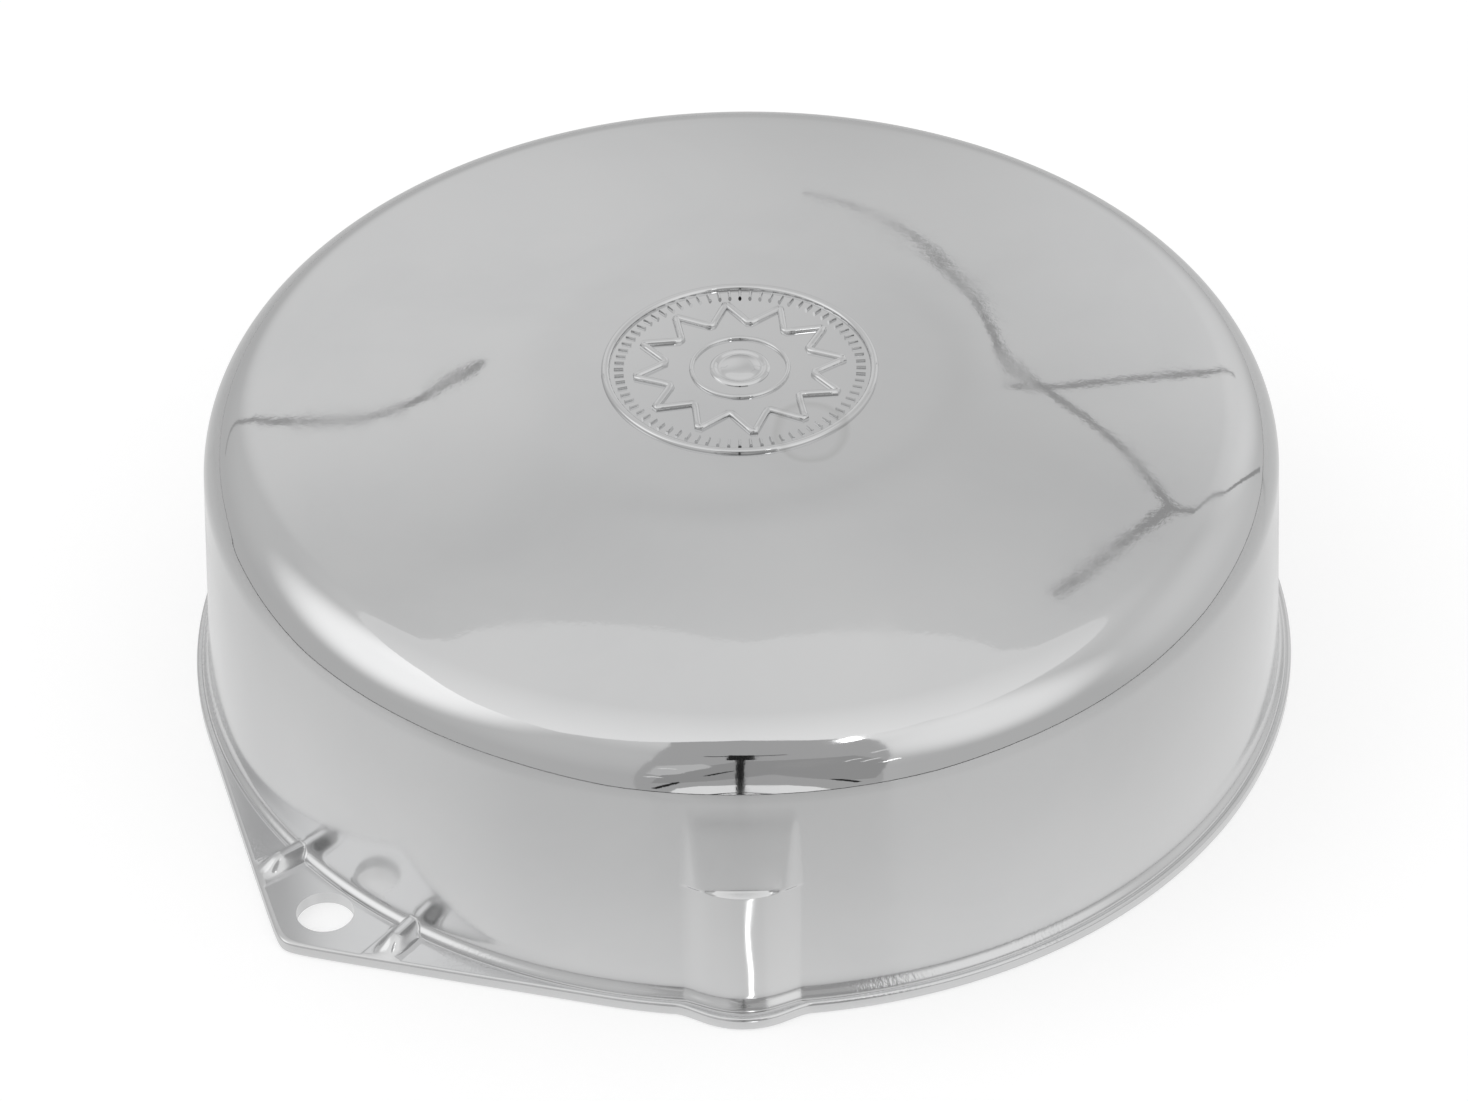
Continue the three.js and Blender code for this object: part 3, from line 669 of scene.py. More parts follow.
def mark_inside(cover):
    """The faces that look into the housing take the duller inside material."""
    cover.data.materials.clear()
    cover.data.materials.append(MATERIALS["chrome"])
    cover.data.materials.append(MATERIALS["chrome_inside"])
    shoulder_r, shoulder_z = ARC[:, 0], ARC[:, 1]
    for face in cover.data.polygons:
        c = face.center / MM
        r = math.hypot(c.x, c.y)
        if c.z < shoulder_z[-1]:
            outside_r = float(np.interp(c.z, shoulder_z, shoulder_r))
            inside = r < outside_r - SHEET / 2 + 0.75 * (c.z < 3)
        else:
            inside = c.z < float(dome_z(r)) - SHEET / 2
        face.material_index = 1 if inside else 0


def capsule(name, at, low, high, radius):
    """An upright cylinder at (x, y)."""
    made = lathe(name, [(0, low), (radius, low), (radius, high), (0, high)], 64)
    made.data.transform(Matrix.Translation(Vector((at[0], at[1], 0)) * MM))
    return made


def block(name, low, high):
    """A box between two corners."""
    (x0, y0, z0), (x1, y1, z1) = low, high
    corners = [(x, y, z) for x in (x0, x1) for y in (y0, y1) for z in (z0, z1)]
    faces = [(0, 1, 3, 2), (4, 6, 7, 5), (0, 4, 5, 1), (2, 3, 7, 6), (0, 2, 6, 4), (1, 5, 7, 3)]
    return mesh_object(name, corners, faces)


def make_cover():
    """The cast cover: its skin, the hole in the ear, and the bores for the screws."""
    cover = round_skin("cover", AROUND, inner_rows() + outer_rows(), CROWN_Z - SHEET, CROWN_Z, 40)
    x, y = EAR["hole_at"] * math.cos(EAR["azimuth"]), EAR["hole_at"] * math.sin(EAR["azimuth"])
    cutters = [capsule("ear_drill", (x, y), -1, 4, EAR["hole"])]
    for side in (-1, 1):
        y = side * SCREW_AT
        cutters.append(capsule("bore", (0, y), -1, COVER_BORE_TOP, COVER_BORE))
        cutters.append(capsule("recess", (0, y), -1, COVER_RECESS_TOP, COVER_RECESS))
        near, far = sorted((side * 49.0, y))
        low, high = (-COVER_RECESS, near, -1), (COVER_RECESS, far, COVER_RECESS_TOP)
        cutters.append(block("channel", low, high))
    boolean(cover, cutters, "DIFFERENCE")
    finish_mesh(cover, 40)
    mark_inside(cover)
    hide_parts("cover_shell")
    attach(cover, "cover")


make_cover()

# ---- The emblem: a generic dial of a ring, a ring of ticks, a star line and a hub ----

EMBLEM = {
    "ring": (15.1, 16.1), "ticks": (13.5, 14.6), "hub": 3.5,
    "star": 12.4, "valley": 8.5, "points": 12,
}
EMBLEM_RELIEF = 0.46


def on_dome(points, height):
    """Millimetre points (x, y) lifted onto the dome, plus a height."""
    points = np.asarray(points, float)
    z = dome_z(np.hypot(points[:, 0], points[:, 1])) + height
    return np.column_stack([points, z])


def raised_line(name, path, width, relief):
    """A raised line with rounded shoulders along a closed path on the dome."""
    path = np.asarray(path, float)
    ahead = np.roll(path, -1, 0) - np.roll(path, 1, 0)
    ahead /= np.linalg.norm(ahead, axis=1)[:, None]
    side = np.column_stack([ahead[:, 1], -ahead[:, 0]])
    half = width / 2
    right = [(1, -0.2), (1, 0.2 * relief), (0.82, 0.75 * relief), (0.5, relief)]
    left = [(-out, height) for out, height in reversed(right)]
    section = [(out * half, height) for out, height in left[-1:] + right + left[:-1]]
    rows = [on_dome(path + side * out, height) for out, height in section]
    return mesh_object(name, np.concatenate(rows), grid_faces(len(section), len(path), True))


def circle(radius, count):
    """Points round a circle."""
    turn = TAU * np.arange(count) / count
    return np.column_stack([radius * np.cos(turn), radius * np.sin(turn)])


def star_path():
    """The star's outline, with points along each edge and tips slightly rounded."""
    count = EMBLEM["points"]
    corners = []
    for i in range(2 * count):
        radius = EMBLEM["star"] if i % 2 == 0 else EMBLEM["valley"]
        turn = TAU * (i + 0.5) / (2 * count)
        corners.append(np.array([radius * math.cos(turn), radius * math.sin(turn)]))
    path = []
    for i, corner in enumerate(corners):
        after = corners[(i + 1) % len(corners)]
        path += [corner + (after - corner) * share for share in (0.06, 0.25, 0.5, 0.75, 0.94)]
    return path


def tick_marks(name):
    """Short raised radial ticks between the ring and the star."""
    inner, outer = EMBLEM["ticks"]
    vertices, faces = [], []
    count, half, relief = 72, 0.19, 0.32
    section = [(-half, -0.2), (half, -0.2), (half, 0.1), (0.4 * half, relief)]
    section += [(-0.4 * half, relief), (-half, 0.1)]
    for i in range(count):
        turn = TAU * i / count
        out = np.array([math.cos(turn), math.sin(turn)])
        side = np.array([-out[1], out[0]])
        base = len(vertices)
        for radius in (inner, outer):
            flat = [out * radius + side * across for across, _ in section]
            ring = on_dome(flat, 0)
            ring[:, 2] += [height for _, height in section]
            vertices += ring.tolist()
        size = len(section)
        for k in range(size):
            n = (k + 1) % size
            faces.append((base + k, base + n, base + size + n, base + size + k))
        faces.append(tuple(base + k for k in reversed(range(size))))
        faces.append(tuple(base + size + k for k in range(size)))
    return mesh_object(name, vertices, faces)


def make_emblem():
    """The raised lines and the hub on the dome."""
    inner, outer = EMBLEM["ring"]
    hub = EMBLEM["hub"]
    crown = CROWN_Z + EMBLEM_RELIEF
    foot = float(dome_z(hub))
    edge = [(0, 0.1), (0.2, 0.26), (0.6, 0.3), (0.75, 0.16), (1.1, 0.14), (1.3, 0.24)]
    profile = [(0, foot - 0.3), (hub, foot - 0.3)]
    profile += [(hub - inwards, foot + rise) for inwards, rise in edge]
    profile += [(1.2, crown - 0.02), (0, crown)]
    pieces = [
        raised_line("emblem_ring", circle((inner + outer) / 2, 240), outer - inner, EMBLEM_RELIEF),
        raised_line("emblem_star", star_path(), width=0.9, relief=EMBLEM_RELIEF),
        raised_line("emblem_inner_ring", circle(5.6, 120), width=0.6, relief=0.34),
        tick_marks("emblem_ticks"),
        lathe("emblem_hub", profile),
    ]
    for piece in pieces:
        finish_mesh(piece, sharp_deg=50)
        dress(piece, "cover", "chrome")


# ---- Shape helpers for the pieces inside, whose profiles are (radius, height, corner radius) ----


def dress(piece, body, slot, replaces=None):
    """Puts a piece on its body, in its finish, in place of the CAD node that it stands for."""
    piece.data.materials.clear()
    piece.data.materials.append(MATERIALS[slot])
    if replaces:
        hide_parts(replaces)
    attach(piece, body)


def moved(made, x=0.0, y=0.0, z=0.0):
    """The piece with its mesh moved by millimetres."""
    made.data.transform(Matrix.Translation(Vector((x, y, z)) * MM))
    return made


def baked(made, sharp_deg):
    """The mesh after its modifiers, in place of the mesh and the modifiers."""
    graph = bpy.context.evaluated_depsgraph_get()
    graph.update()
    changed = bpy.data.meshes.new_from_object(made.evaluated_get(graph))
    made.modifiers.clear()
    made.data = changed
    return finish_mesh(made, sharp_deg)


def bevelled(made, width, segments=2):
    """The piece with its edges rounded."""
    modifier = made.modifiers.new("bevel", "BEVEL")
    modifier.width, modifier.segments = width * MM, segments
    modifier.limit_method, modifier.angle_limit = "ANGLE", math.radians(35)
    return baked(made, 40)


def prism(name, outline, low, high):
    """A straight prism on a closed outline of (x, y)."""
    outline = np.asarray(outline, float)
    count = len(outline)
    vertices = [(x, y, z) for z in (low, high) for x, y in outline]
    faces = grid_faces(2, count) + [tuple(reversed(range(count))), tuple(range(count, 2 * count))]
    return finish_mesh(mesh_object(name, vertices, faces))


def ring_at(name, node, inner, edge, segments=96):
    """A flat ring with rounded edges, at a CAD node's place and as wide and high as it."""
    low, high = extent(node)
    outer = (high[0] - low[0]) / 2
    profile = [(inner, low[2]), (outer, low[2]), (outer, high[2]), (inner, high[2])]
    return moved(lathe(name, rounded(profile, edge), segments), *centre_of(node)[:2])


def cut_away(made, *tools):
    """The piece with the tools cut out of it."""
    boolean(made, tools, "DIFFERENCE")
    return finish_mesh(made)


def joined(made, *tools):
    """The piece and the tools as one skin."""
    boolean(made, tools, "UNION")
    return finish_mesh(made)


def slot_outline(azimuth, width, inner, outer):
    """The outline of a round-ended radial slot."""
    half, steps, points = width / 2, 10, []
    for centre, start in ((outer - half, -math.pi / 2), (inner + half, math.pi / 2)):
        for k in range(steps + 1):
            turn = start + math.pi * k / steps
            points.append((centre + half * math.cos(turn), half * math.sin(turn)))
    cos, sin = math.cos(azimuth), math.sin(azimuth)
    return [(x * cos - y * sin, x * sin + y * cos) for x, y in points]


def thread(name, low, high, radius, pitch, depth, rows_below, rows_above, segments=40):
    """A threaded rod between plain rows (radius, z) below and above it, closed at both ends."""
    turn = TAU * np.arange(segments) / segments
    rows = []
    for z in np.arange(low, high, pitch / 8):
        phase = (z / pitch - turn / TAU) % 1.0
        groove = np.clip(np.abs(2 * phase - 1) * 1.35 - 0.15, 0, 1)
        fade = min(1.0, (z - low) / pitch, (high - z) / (0.4 * pitch))
        rows.append((radius - depth * groove * fade, z))
    rows = rows_below + rows + rows_above
    return round_skin(name, turn, rows, rows[0][1], rows[-1][1], 50)


# ---- Back plate and what is fixed to it ----

SLOTS = [math.radians(15 + 30 * i) for i in range(12)]
SLOT = {"width": 3.6, "inner": 44.8, "outer": 52.4}
WINDOW = {"width": 3.7, "inner": 44.75, "outer": 52.45}


def make_back_plate():
    """The pressed plate with its inlet slots, and a pocket and a tab at each screw."""
    low, top = PLATE_LOW, PLATE_TOP
    rim = extent("back_plate")[1][0]
    profile = [(16, low, 0.3), (30.6, low, 0.3), (31.4, low + 0.35, 0.4)]
    profile += [(34.6, low + 0.35, 0.4), (35.4, low, 0.3), (54.6, low, 0.6), (56.6, 0, 0.6)]
    profile += [(rim, 0, 0.3), (rim, PLATE_SHEET, 0.3), (57.1, PLATE_SHEET, 0.6)]
    profile += [(55.1, top, 0.6), (16, top, 0.3)]
    plate = lathe("plate", rounded(profile, 0.3), 180)
    for side in (-1, 1):
        y = side * SCREW_AT
        near, far = sorted((side * 53.6, y))

        def tongue(bottom, height):
            """A round-ended bar from the plate's rim to the screw."""
            corners = (-SCREW_TAB, near, bottom), (SCREW_TAB, far, height)
            return capsule("end", (0, y), bottom, height, SCREW_TAB), block("bar", *corners)

        cut_away(plate, *tongue(-1, low))
        for piece in tongue(low, top):
            joined(plate, piece)
    cutters = [prism("slot", slot_outline(at, **SLOT), -1, 6) for at in SLOTS]
    holes = [(0, side * SCREW_AT, PLATE_SCREW_HOLE) for side in (-1, 1)]
    holes += [(side * STRAP_RIVET_AT, 0, STRAP_RIVET_HOLE) for side in (-1, 1)]
    holes += [(x, y, RIVET_HOLE) for x, y in RIVETS_AT]
    cutters += [capsule("hole", (x, y), -1, 6, radius) for x, y, radius in holes]
    cut_away(plate, *cutters)
    dress(plate, "base", "zinc_plate", "back_plate")


def wires(name, azimuth):
    """Woven wire across one inlet slot: wires along it and across it, over and under by turns."""
    pitch, radius, swing = 0.62, 0.105, 0.11
    middle_z = 4.65
    half_width, inner, outer = 2.0, 44.6, 52.6
    length = outer - inner
    sides, vertices, faces = 5, [], []

    def wire(points):
        """Adds a closed tube through points."""
        base, count = len(vertices), len(points)
        ahead = np.gradient(points, axis=0)
        ahead /= np.linalg.norm(ahead, axis=1)[:, None]
        across = np.cross(ahead, (0, 0, 1))
        up = np.cross(across, ahead)
        for point, a, b in zip(points, across, up):
            for k in range(sides):
                turn = TAU * k / sides
                vertices.append(point + radius * (a * math.cos(turn) + b * math.sin(turn)))
        for i in range(count - 1):
            here, ahead_of = base + sides * i, base + sides * (i + 1)
            for k in range(sides):
                n = (k + 1) % sides
                faces.append((here + k, here + n, ahead_of + n, ahead_of + k))
        last = base + sides * (count - 1)
        faces.append(tuple(base + k for k in range(sides)))
        faces.append(tuple(last + k for k in reversed(range(sides))))

    along = np.arange(pitch / 2 - half_width, half_width, pitch)
    cross = np.arange(inner + pitch / 2, outer, pitch)
    for i, y in enumerate(along):
        x = np.linspace(inner, outer, int(length / pitch * 4) + 1)
        z = middle_z + swing * np.cos(math.pi * (x - cross[0]) / pitch + math.pi * i)
        wire(np.stack([x, 0 * x + y, z], -1))
    for j, x in enumerate(cross):
        y = np.linspace(-half_width, half_width, int(2 * half_width / pitch * 4) + 1)
        z = middle_z - swing * np.cos(math.pi * (y - along[0]) / pitch + math.pi * j)
        wire(np.stack([0 * y + x, y, z], -1))
    made = finish_mesh(mesh_object(name, vertices, faces), 60)
    made.data.transform(Matrix.Rotation(azimuth, 4, "Z"))
    return made


def make_screen():
    """The thin ring on the plate that holds a piece of wire gauze over each slot."""
    frame_ring = ring_at("screen_frame", "inlet_screen", inner=44, edge=0.12, segments=180)
    windows = [prism("window", slot_outline(at, **WINDOW), 4, 6) for at in SLOTS]
    holes = [capsule("hole", at, 4, 6, RIVET_HOLE) for at in RIVETS_AT]
    cut_away(frame_ring, *windows, *holes)
    dress(frame_ring, "base", "gauze", "inlet_screen")
    for i, at in enumerate(SLOTS):
        dress(wires(f"screen_wires_{i + 1}", at), "base", "gauze")


def rivet(name, node, shank, head, high):
    """A rivet through the plate and a sheet on it, with a full dome at each end."""
    rise, low = head * 0.45, PLATE_LOW
    arc = [math.radians(a) for a in (4, 20, 36, 52, 68, 80)]
    foot = [(head * math.cos(a), low - rise * math.sin(a)) for a in reversed(arc)]
    crown = [(head * math.cos(a), high + rise * math.sin(a)) for a in arc]
    profile = [(0, low - rise)] + foot + [(shank, low), (shank, high)] + crown + [(0, high + rise)]
    dress(moved(lathe(name, profile, 32), *centre_of(node)[:2]), "base", "steel", node)


def make_bridge():
    """The strap over the inlet with the stud that it carries, and all the rivets."""
    right = [(25.4, 4.4, 0.1), (25.4, 5.6, 0.4), (20.5, 5.6, 1.0), (19.5, 10.8, 1.8)]
    inner = [(18.3, 9.6, 0.7), (19.3, 4.4, 2.0)]
    mirror = [(-x, z, r) for x, z, r in reversed(right)]
    outline = rounded(right + mirror + [(-x, z, r) for x, z, r in reversed(inner)] + inner, 0.4, 6)
    strap = prism("strap", outline, -4.5, 4.5)
    strap.data.transform(Matrix.Rotation(math.pi / 2, 4, "X"))
    bevelled(strap, width=0.22)
    holes = [(0, 5, STUD_HOLE)] + [(side * STRAP_RIVET_AT, 0, STRAP_RIVET_HOLE) for side in (1, -1)]
    cut_away(strap, *(capsule("hole", (x, 0), low, 12, radius) for x, low, radius in holes))
    dress(strap, "base", "zinc_plate", "stud_bridge")
    below = [(0.5, 8.3), (3.9, 8.3), (4.2, 8.5), (4.2, 9.3), (4.0, 9.5), (2.5, 9.5), (2.5, 10.6)]
    above = [(2.45, 36.6), (2.2, 37.0), (1.8, 37.4), (0.5, 37.4)]
    size = {"low": 10.7, "high": 36.5, "radius": 2.5, "pitch": 0.8, "depth": 0.42}
    stud = thread("stud", **size, rows_below=below, rows_above=above)
    dress(stud, "base", "steel", "centre_stud")
    nut_low, nut_high = extent("stud_nut")
    across, height = (nut_high - nut_low)[1:]
    nut = hexagon_nut("nut", across, height, bore=2.65)
    dress(moved(nut, z=nut_low[2]), "base", "brass", "stud_nut")
    for i in (1, 2):
        rivet(f"strap_rivet_{i}", f"bridge_rivet_{i}", shank=1.35, head=2.4, high=5.6)
    for i in (1, 2, 3, 4):
        rivet(f"frame_rivet_{i}", f"screen_rivet_{i}", shank=1.15, head=1.9, high=4.9)


def hexagon_nut(name, across, height, bore):
    """A hexagon nut whose corners are chamfered at both faces."""
    corner = across / math.sqrt(3)
    nut = prism(name, circle(corner, 6), 0, height)
    half = across / 2
    face, shallow = half * 0.97, 0.18
    cone = [(0, 0), (face, 0), (corner, height * shallow)]
    cone += [(corner, height * (1 - shallow)), (face, height), (0, height)]
    boolean(nut, [lathe("chamfer", cone)], "INTERSECT")
    hole = [(0, -1), (bore + 0.85, -1), (bore, 0.4)]
    hole += [(bore, height - 0.4), (bore + 0.85, height + 1), (0, height + 1)]
    return cut_away(nut, lathe("bore", hole, 64))


def arc_sweep(name, profile, start, end, steps):
    """A closed profile of (r, z) swept between two azimuths in degrees, with flat ends."""
    turn = np.radians(np.linspace(start, end, steps))
    size = len(profile)
    vertices = [(r * math.cos(a), r * math.sin(a), z) for a in turn for r, z in profile]
    faces = grid_faces(steps, size)
    faces += [tuple(reversed(range(size))), tuple(range((steps - 1) * size, steps * size))]
    return finish_mesh(mesh_object(name, vertices, faces), 35)


def make_rubber():
    """The grommet in the inlet and the two halves of the gasket on the plate's rim."""
    profile = [(13, 1, 0.5), (18.3, 1, 0.3), (19, 1.7, 0.4), (19, 2.9, 0.3), (15.7, 2.9, 0.1)]
    profile += [(15.7, 4.7, 0.1), (18.2, 4.7, 0.3), (18.2, 5.9, 0.4), (17.5, 6.6, 0.3)]
    profile += [(13, 6.6, 0.6), (13, 5.1, 0.1)]
    profile += [(13.35, 4.75, 0.15), (13.35, 4.45, 0.15), (13, 4.1, 0.1)]
    profile += [(13, 3.5, 0.1), (13.35, 3.15, 0.15), (13.35, 2.85, 0.15), (13, 2.5, 0.1)]
    dress(lathe("grommet", rounded(profile, 0.2), 128), "base", "rubber", "carb_grommet")
    section = [(59.4, 1.2, 0.15), (61.9, 1.2, 0.15), (61.9, 2.3, 0.3), (61.1, 2.3, 0.2)]
    section += [(60.65, 1.95, 0.25), (60.2, 2.3, 0.2), (59.4, 2.3, 0.3)]
    section = rounded(section, 0.2, 3)
    for side, (start, end) in {"right": (-83, 83), "left": (97, 263)}.items():
        gasket = arc_sweep(f"gasket_{side}", section, start, end, steps=140)
        dress(gasket, "base", "rubber", f"rim_gasket_{side}")


# ---- Cover screws ----


def make_screw(end, side):
    """A socket screw with its thread, its washer and the clip that keeps it in."""
    body, segments = f"{end}_screw", 144
    turn = TAU * np.arange(segments) / segments
    knurl = 0.1 * (0.5 + 0.5 * np.cos(36 * turn)) ** 2
    rows = [(2.5, 0.3), (2.85, 0.3), (3.05, 0.42), (3.2, 0.6)]
    grip = ((0.3, 0.72), (1, 0.85), (1, 1.3), (1, 1.75), (1, 2.0))
    rows += [(3.3 - knurl * share, z) for share, z in grip]
    rows += [(3.22, 2.18), (3.1, 2.3), (2.3, 2.3), (2.05, 2.34), (2.0, 2.5), (2.0, 4.4)]
    plain = [(1.72, 15.4), (1.4, 16.0), (0.4, 16.0)]
    size = {"low": 4.5, "high": 15.2, "radius": 2.0, "pitch": 0.7, "depth": 0.36}
    screw = thread(f"screw_{end}", **size, rows_below=rows, rows_above=plain, segments=segments)
    socket = prism("socket", circle(1.75, 6), -1, 1.5)
    entry = lathe("entry", [(0, -0.2), (2.3, -0.2), (1.45, 0.65), (0, 0.65)], 48)
    cut_away(screw, socket, entry)
    dress(moved(screw, y=side * SCREW_AT), body, "steel", f"cover_screw_{end}")
    washer = ring_at(f"washer_{end}", f"screw_washer_{end}", WASHER_HOLE, 0.14, 64)
    dress(washer, body, "zinc_plate", f"screw_washer_{end}")
    clip = ring_at(f"retainer_{end}", f"screw_retainer_{end}", WASHER_HOLE, 0.12, 64)
    notches = []
    for i in range(5):
        notch = block("notch", (1.5, -0.22, 4), (3.0, 0.22, 6))
        notch.data.transform(Matrix.Rotation(TAU * i / 5 + 0.3, 4, "Z"))
        notches.append(moved(notch, y=side * SCREW_AT))
    cut_away(clip, *notches)
    dress(clip, body, "steel", f"screw_retainer_{end}")


# ---- Filter element ----


def make_end_caps():
    """The element's two pressed caps, and its felt ring."""
    low, dome, top = CAP_LOW, CAP_TOP, CAP_TOP - 1.7
    lower = [(26.5, low, 0.6), (33.6, low, 0.3), (34.2, low + 0.35, 0.3), (36.6, low + 0.35, 0.3)]
    lower += [(37.2, low, 0.3), (43.5, low, 0.9), (43.5, low + 3.8, 0.25), (42.8, low + 3.8, 0.25)]
    lower += [(42.8, low + 0.7, 0.5), (27.2, low + 0.7, 0.4), (27.2, low + 3.8, 0.25)]
    lower += [(26.5, low + 3.8, 0.25)]
    dress(lathe("cap_lower", rounded(lower, 0.3), 160), "element", "zinc_plate", "lower_end_cap")
    under = top - 0.7
    upper = [(STUD_HOLE, dome - 0.7, 0.1), (10, dome - 0.7, 0.6), (11.5, under, 0.6)]
    upper += [(19.2, under, 0.3), (19.7, under - 0.4, 0.3), (22.3, under - 0.4, 0.3)]
    upper += [(22.8, under, 0.3), (42.8, under, 0.5), (42.8, top - 3.8, 0.25)]
    upper += [(43.5, top - 3.8, 0.25), (43.5, top, 1.0), (37.4, top, 0.3), (36.9, top - 0.35, 0.3)]
    upper += [(34.3, top - 0.35, 0.3), (33.8, top, 0.3), (23.1, top, 0.4), (22.6, top - 0.4, 0.3)]
    upper += [(19.4, top - 0.4, 0.3), (18.9, top, 0.4), (12.2, top, 0.9), (10.7, dome, 0.8)]
    upper += [(STUD_HOLE, dome, 0.15)]
    dress(lathe("cap_upper", rounded(upper, 0.3), 160), "element", "zinc_plate", "upper_end_cap")
    ring = ring_at("felt_ring", "element_gasket", inner=28, edge=0.42, segments=160)
    dress(ring, "element", "felt", "element_gasket")


def sheet_tube(name, polygons, thickness):
    """A perforated sheet wrapped round the axis, from polygons of (azimuth, z, radius)."""
    vertices, faces = [], []
    for polygon in polygons:
        base = len(vertices)
        for azimuth, z, r in polygon:
            vertices.append((r * math.cos(azimuth), r * math.sin(azimuth), z))
        faces.append(tuple(range(base, base + len(polygon))))
    made = mesh_object(name, vertices, faces)
    work = bmesh.new()
    work.from_mesh(made.data)
    bmesh.ops.remove_doubles(work, verts=work.verts, dist=0.01 * MM)
    bmesh.ops.recalc_face_normals(work, faces=work.faces)
    work.to_mesh(made.data)
    work.free()
    solid = made.modifiers.new("solidify", "SOLIDIFY")
    solid.thickness, solid.offset = thickness * MM, 0.0
    return baked(made, 45)


def cell_faces(edge, rim):
    """The polygons between a cell's edge and the rim of the hole in it."""
    count = len(edge)
    for k in range(count):
        n = (k + 1) % count
        yield [edge[k], edge[n], rim[n], rim[k]]


# A cell's edge in 16 points, from -1 to 1 each way
SQUARE = [
    (1, 0), (1, 0.5), (1, 1), (0.5, 1), (0, 1), (-0.5, 1), (-1, 1), (-1, 0.5),
    (-1, 0), (-1, -0.5), (-1, -1), (-0.5, -1), (0, -1), (0.5, -1), (1, -1), (1, -0.5),
]


def perforated_cells(radius, low, high, columns, rows, hole):
    """Square cells with a round hole each, staggered by half a cell from row to row."""
    width, height = TAU / columns, (high - low) / rows
    for row in range(rows):
        z = low + height * (row + 0.5)
        for column in range(columns):
            a = width * (column + (row % 2) / 2)
            edge = [(a + x * width / 2, z + y * height / 2, radius) for x, y in SQUARE]
            turns = [math.atan2(y, x) for x, y in SQUARE]
            rim = [(a + hole * math.cos(t) / radius, z + hole * math.sin(t), radius) for t in turns]
            yield from cell_faces(edge, rim)


# A diamond cell: its edge and its hole's rim as shares of it, and how far the rim leans out
DIAMOND = [
    ((0.5, 0), (0.36, 0), 0),
    ((0.25, 0.25), (0.175, 0.15), -0.1),
    ((0, 0.5), (0, 0.3), -0.16),
    ((-0.25, 0.25), (-0.175, 0.15), -0.1),
    ((-0.5, 0), (-0.36, 0), 0),
    ((-0.25, -0.25), (-0.175, -0.15), 0.1),
    ((0, -0.5), (0, -0.3), 0.16),
    ((0.25, -0.25), (0.175, -0.15), 0.1),
]


def expanded_cells(radius, low, high, columns, rows):
    """Diamond cells of expanded metal, whose strands are tipped out at one side."""
    width, height = TAU / columns, 2 * (high - low) / (rows + 1)
    for row in range(rows):
        z = low + height / 2 * (row + 1)
        for column in range(columns):
            a = width * (column + (row % 2) / 2)
            edge = [(a + x * width, z + y * height, radius) for (x, y), _, _ in DIAMOND]
            rim = [(a + x * width, z + y * height, radius + lean) for _, (x, y), lean in DIAMOND]
            yield from cell_faces(edge, rim)


def make_media():
    """Paper folded into pleats, round the core."""
    pleats, per, rows, half = 56, 20, 9, 0.27
    inner, outer = 29.7, 40.7
    turn = TAU * np.arange(pleats * per) / (pleats * per)
    phase = (turn * pleats / TAU) % 1.0
    swing = np.abs(2 * phase - 1)
    wave = 0.5 - 0.5 * np.cos(math.pi * swing)
    share = 0.78 * swing + 0.22 * wave
    radius = inner + (outer - inner) * np.clip((share - 0.04) / 0.92, 0, 1)
    rng = np.random.default_rng(4)
    drift = rng.normal(0, 0.22, (rows, pleats))
    vertices = []
    heights = np.linspace(7.25, 28.55, rows)
    for side in (1, -1):
        for row in range(rows) if side > 0 else reversed(range(rows)):
            own = np.repeat(drift[row], per) * (0.5 + 0.5 * math.sin(math.pi * row / (rows - 1)))
            r = radius + 0.4 * own
            line = np.stack([r * np.cos(turn), r * np.sin(turn)], -1)
            ahead = np.roll(line, -1, 0) - np.roll(line, 1, 0)
            ahead /= np.linalg.norm(ahead, axis=1)[:, None]
            out = line + side * half * np.stack([ahead[:, 1], -ahead[:, 0]], -1)
            vertices.append(np.column_stack([out, np.full(len(out), heights[row])]))
    made = mesh_object("pleats", np.concatenate(vertices), grid_faces(2 * rows, len(turn), True))
    dress(finish_mesh(made, 60), "element", "filter_paper", "pleated_media")


def make_element():
    """The filter element: caps, perforated core, expanded guard and paper."""
    make_end_caps()
    cells = perforated_cells(radius=28.0, low=7.2, high=28.6, columns=40, rows=5, hole=1.45)
    core = sheet_tube("core", cells, thickness=0.8)
    dress(core, "element", "gauze", "inner_core")
    cells = expanded_cells(radius=42.0, low=7.3, high=28.5, columns=40, rows=7)
    guard = sheet_tube("guard", cells, thickness=0.55)
    dress(guard, "element", "gauze", "outer_mesh")
    make_media()


# ---- What clamps the element ----


def quadratic(start, bend, end):
    """Points along a curve from start to end that leaves and arrives towards bend."""
    start, bend, end = (np.array(p, float) for p in (start, bend, end))
    share = np.linspace(0, 1, 11)[1:, None]
    return list((1 - share) ** 2 * start + 2 * share * (1 - share) * bend + share**2 * end)


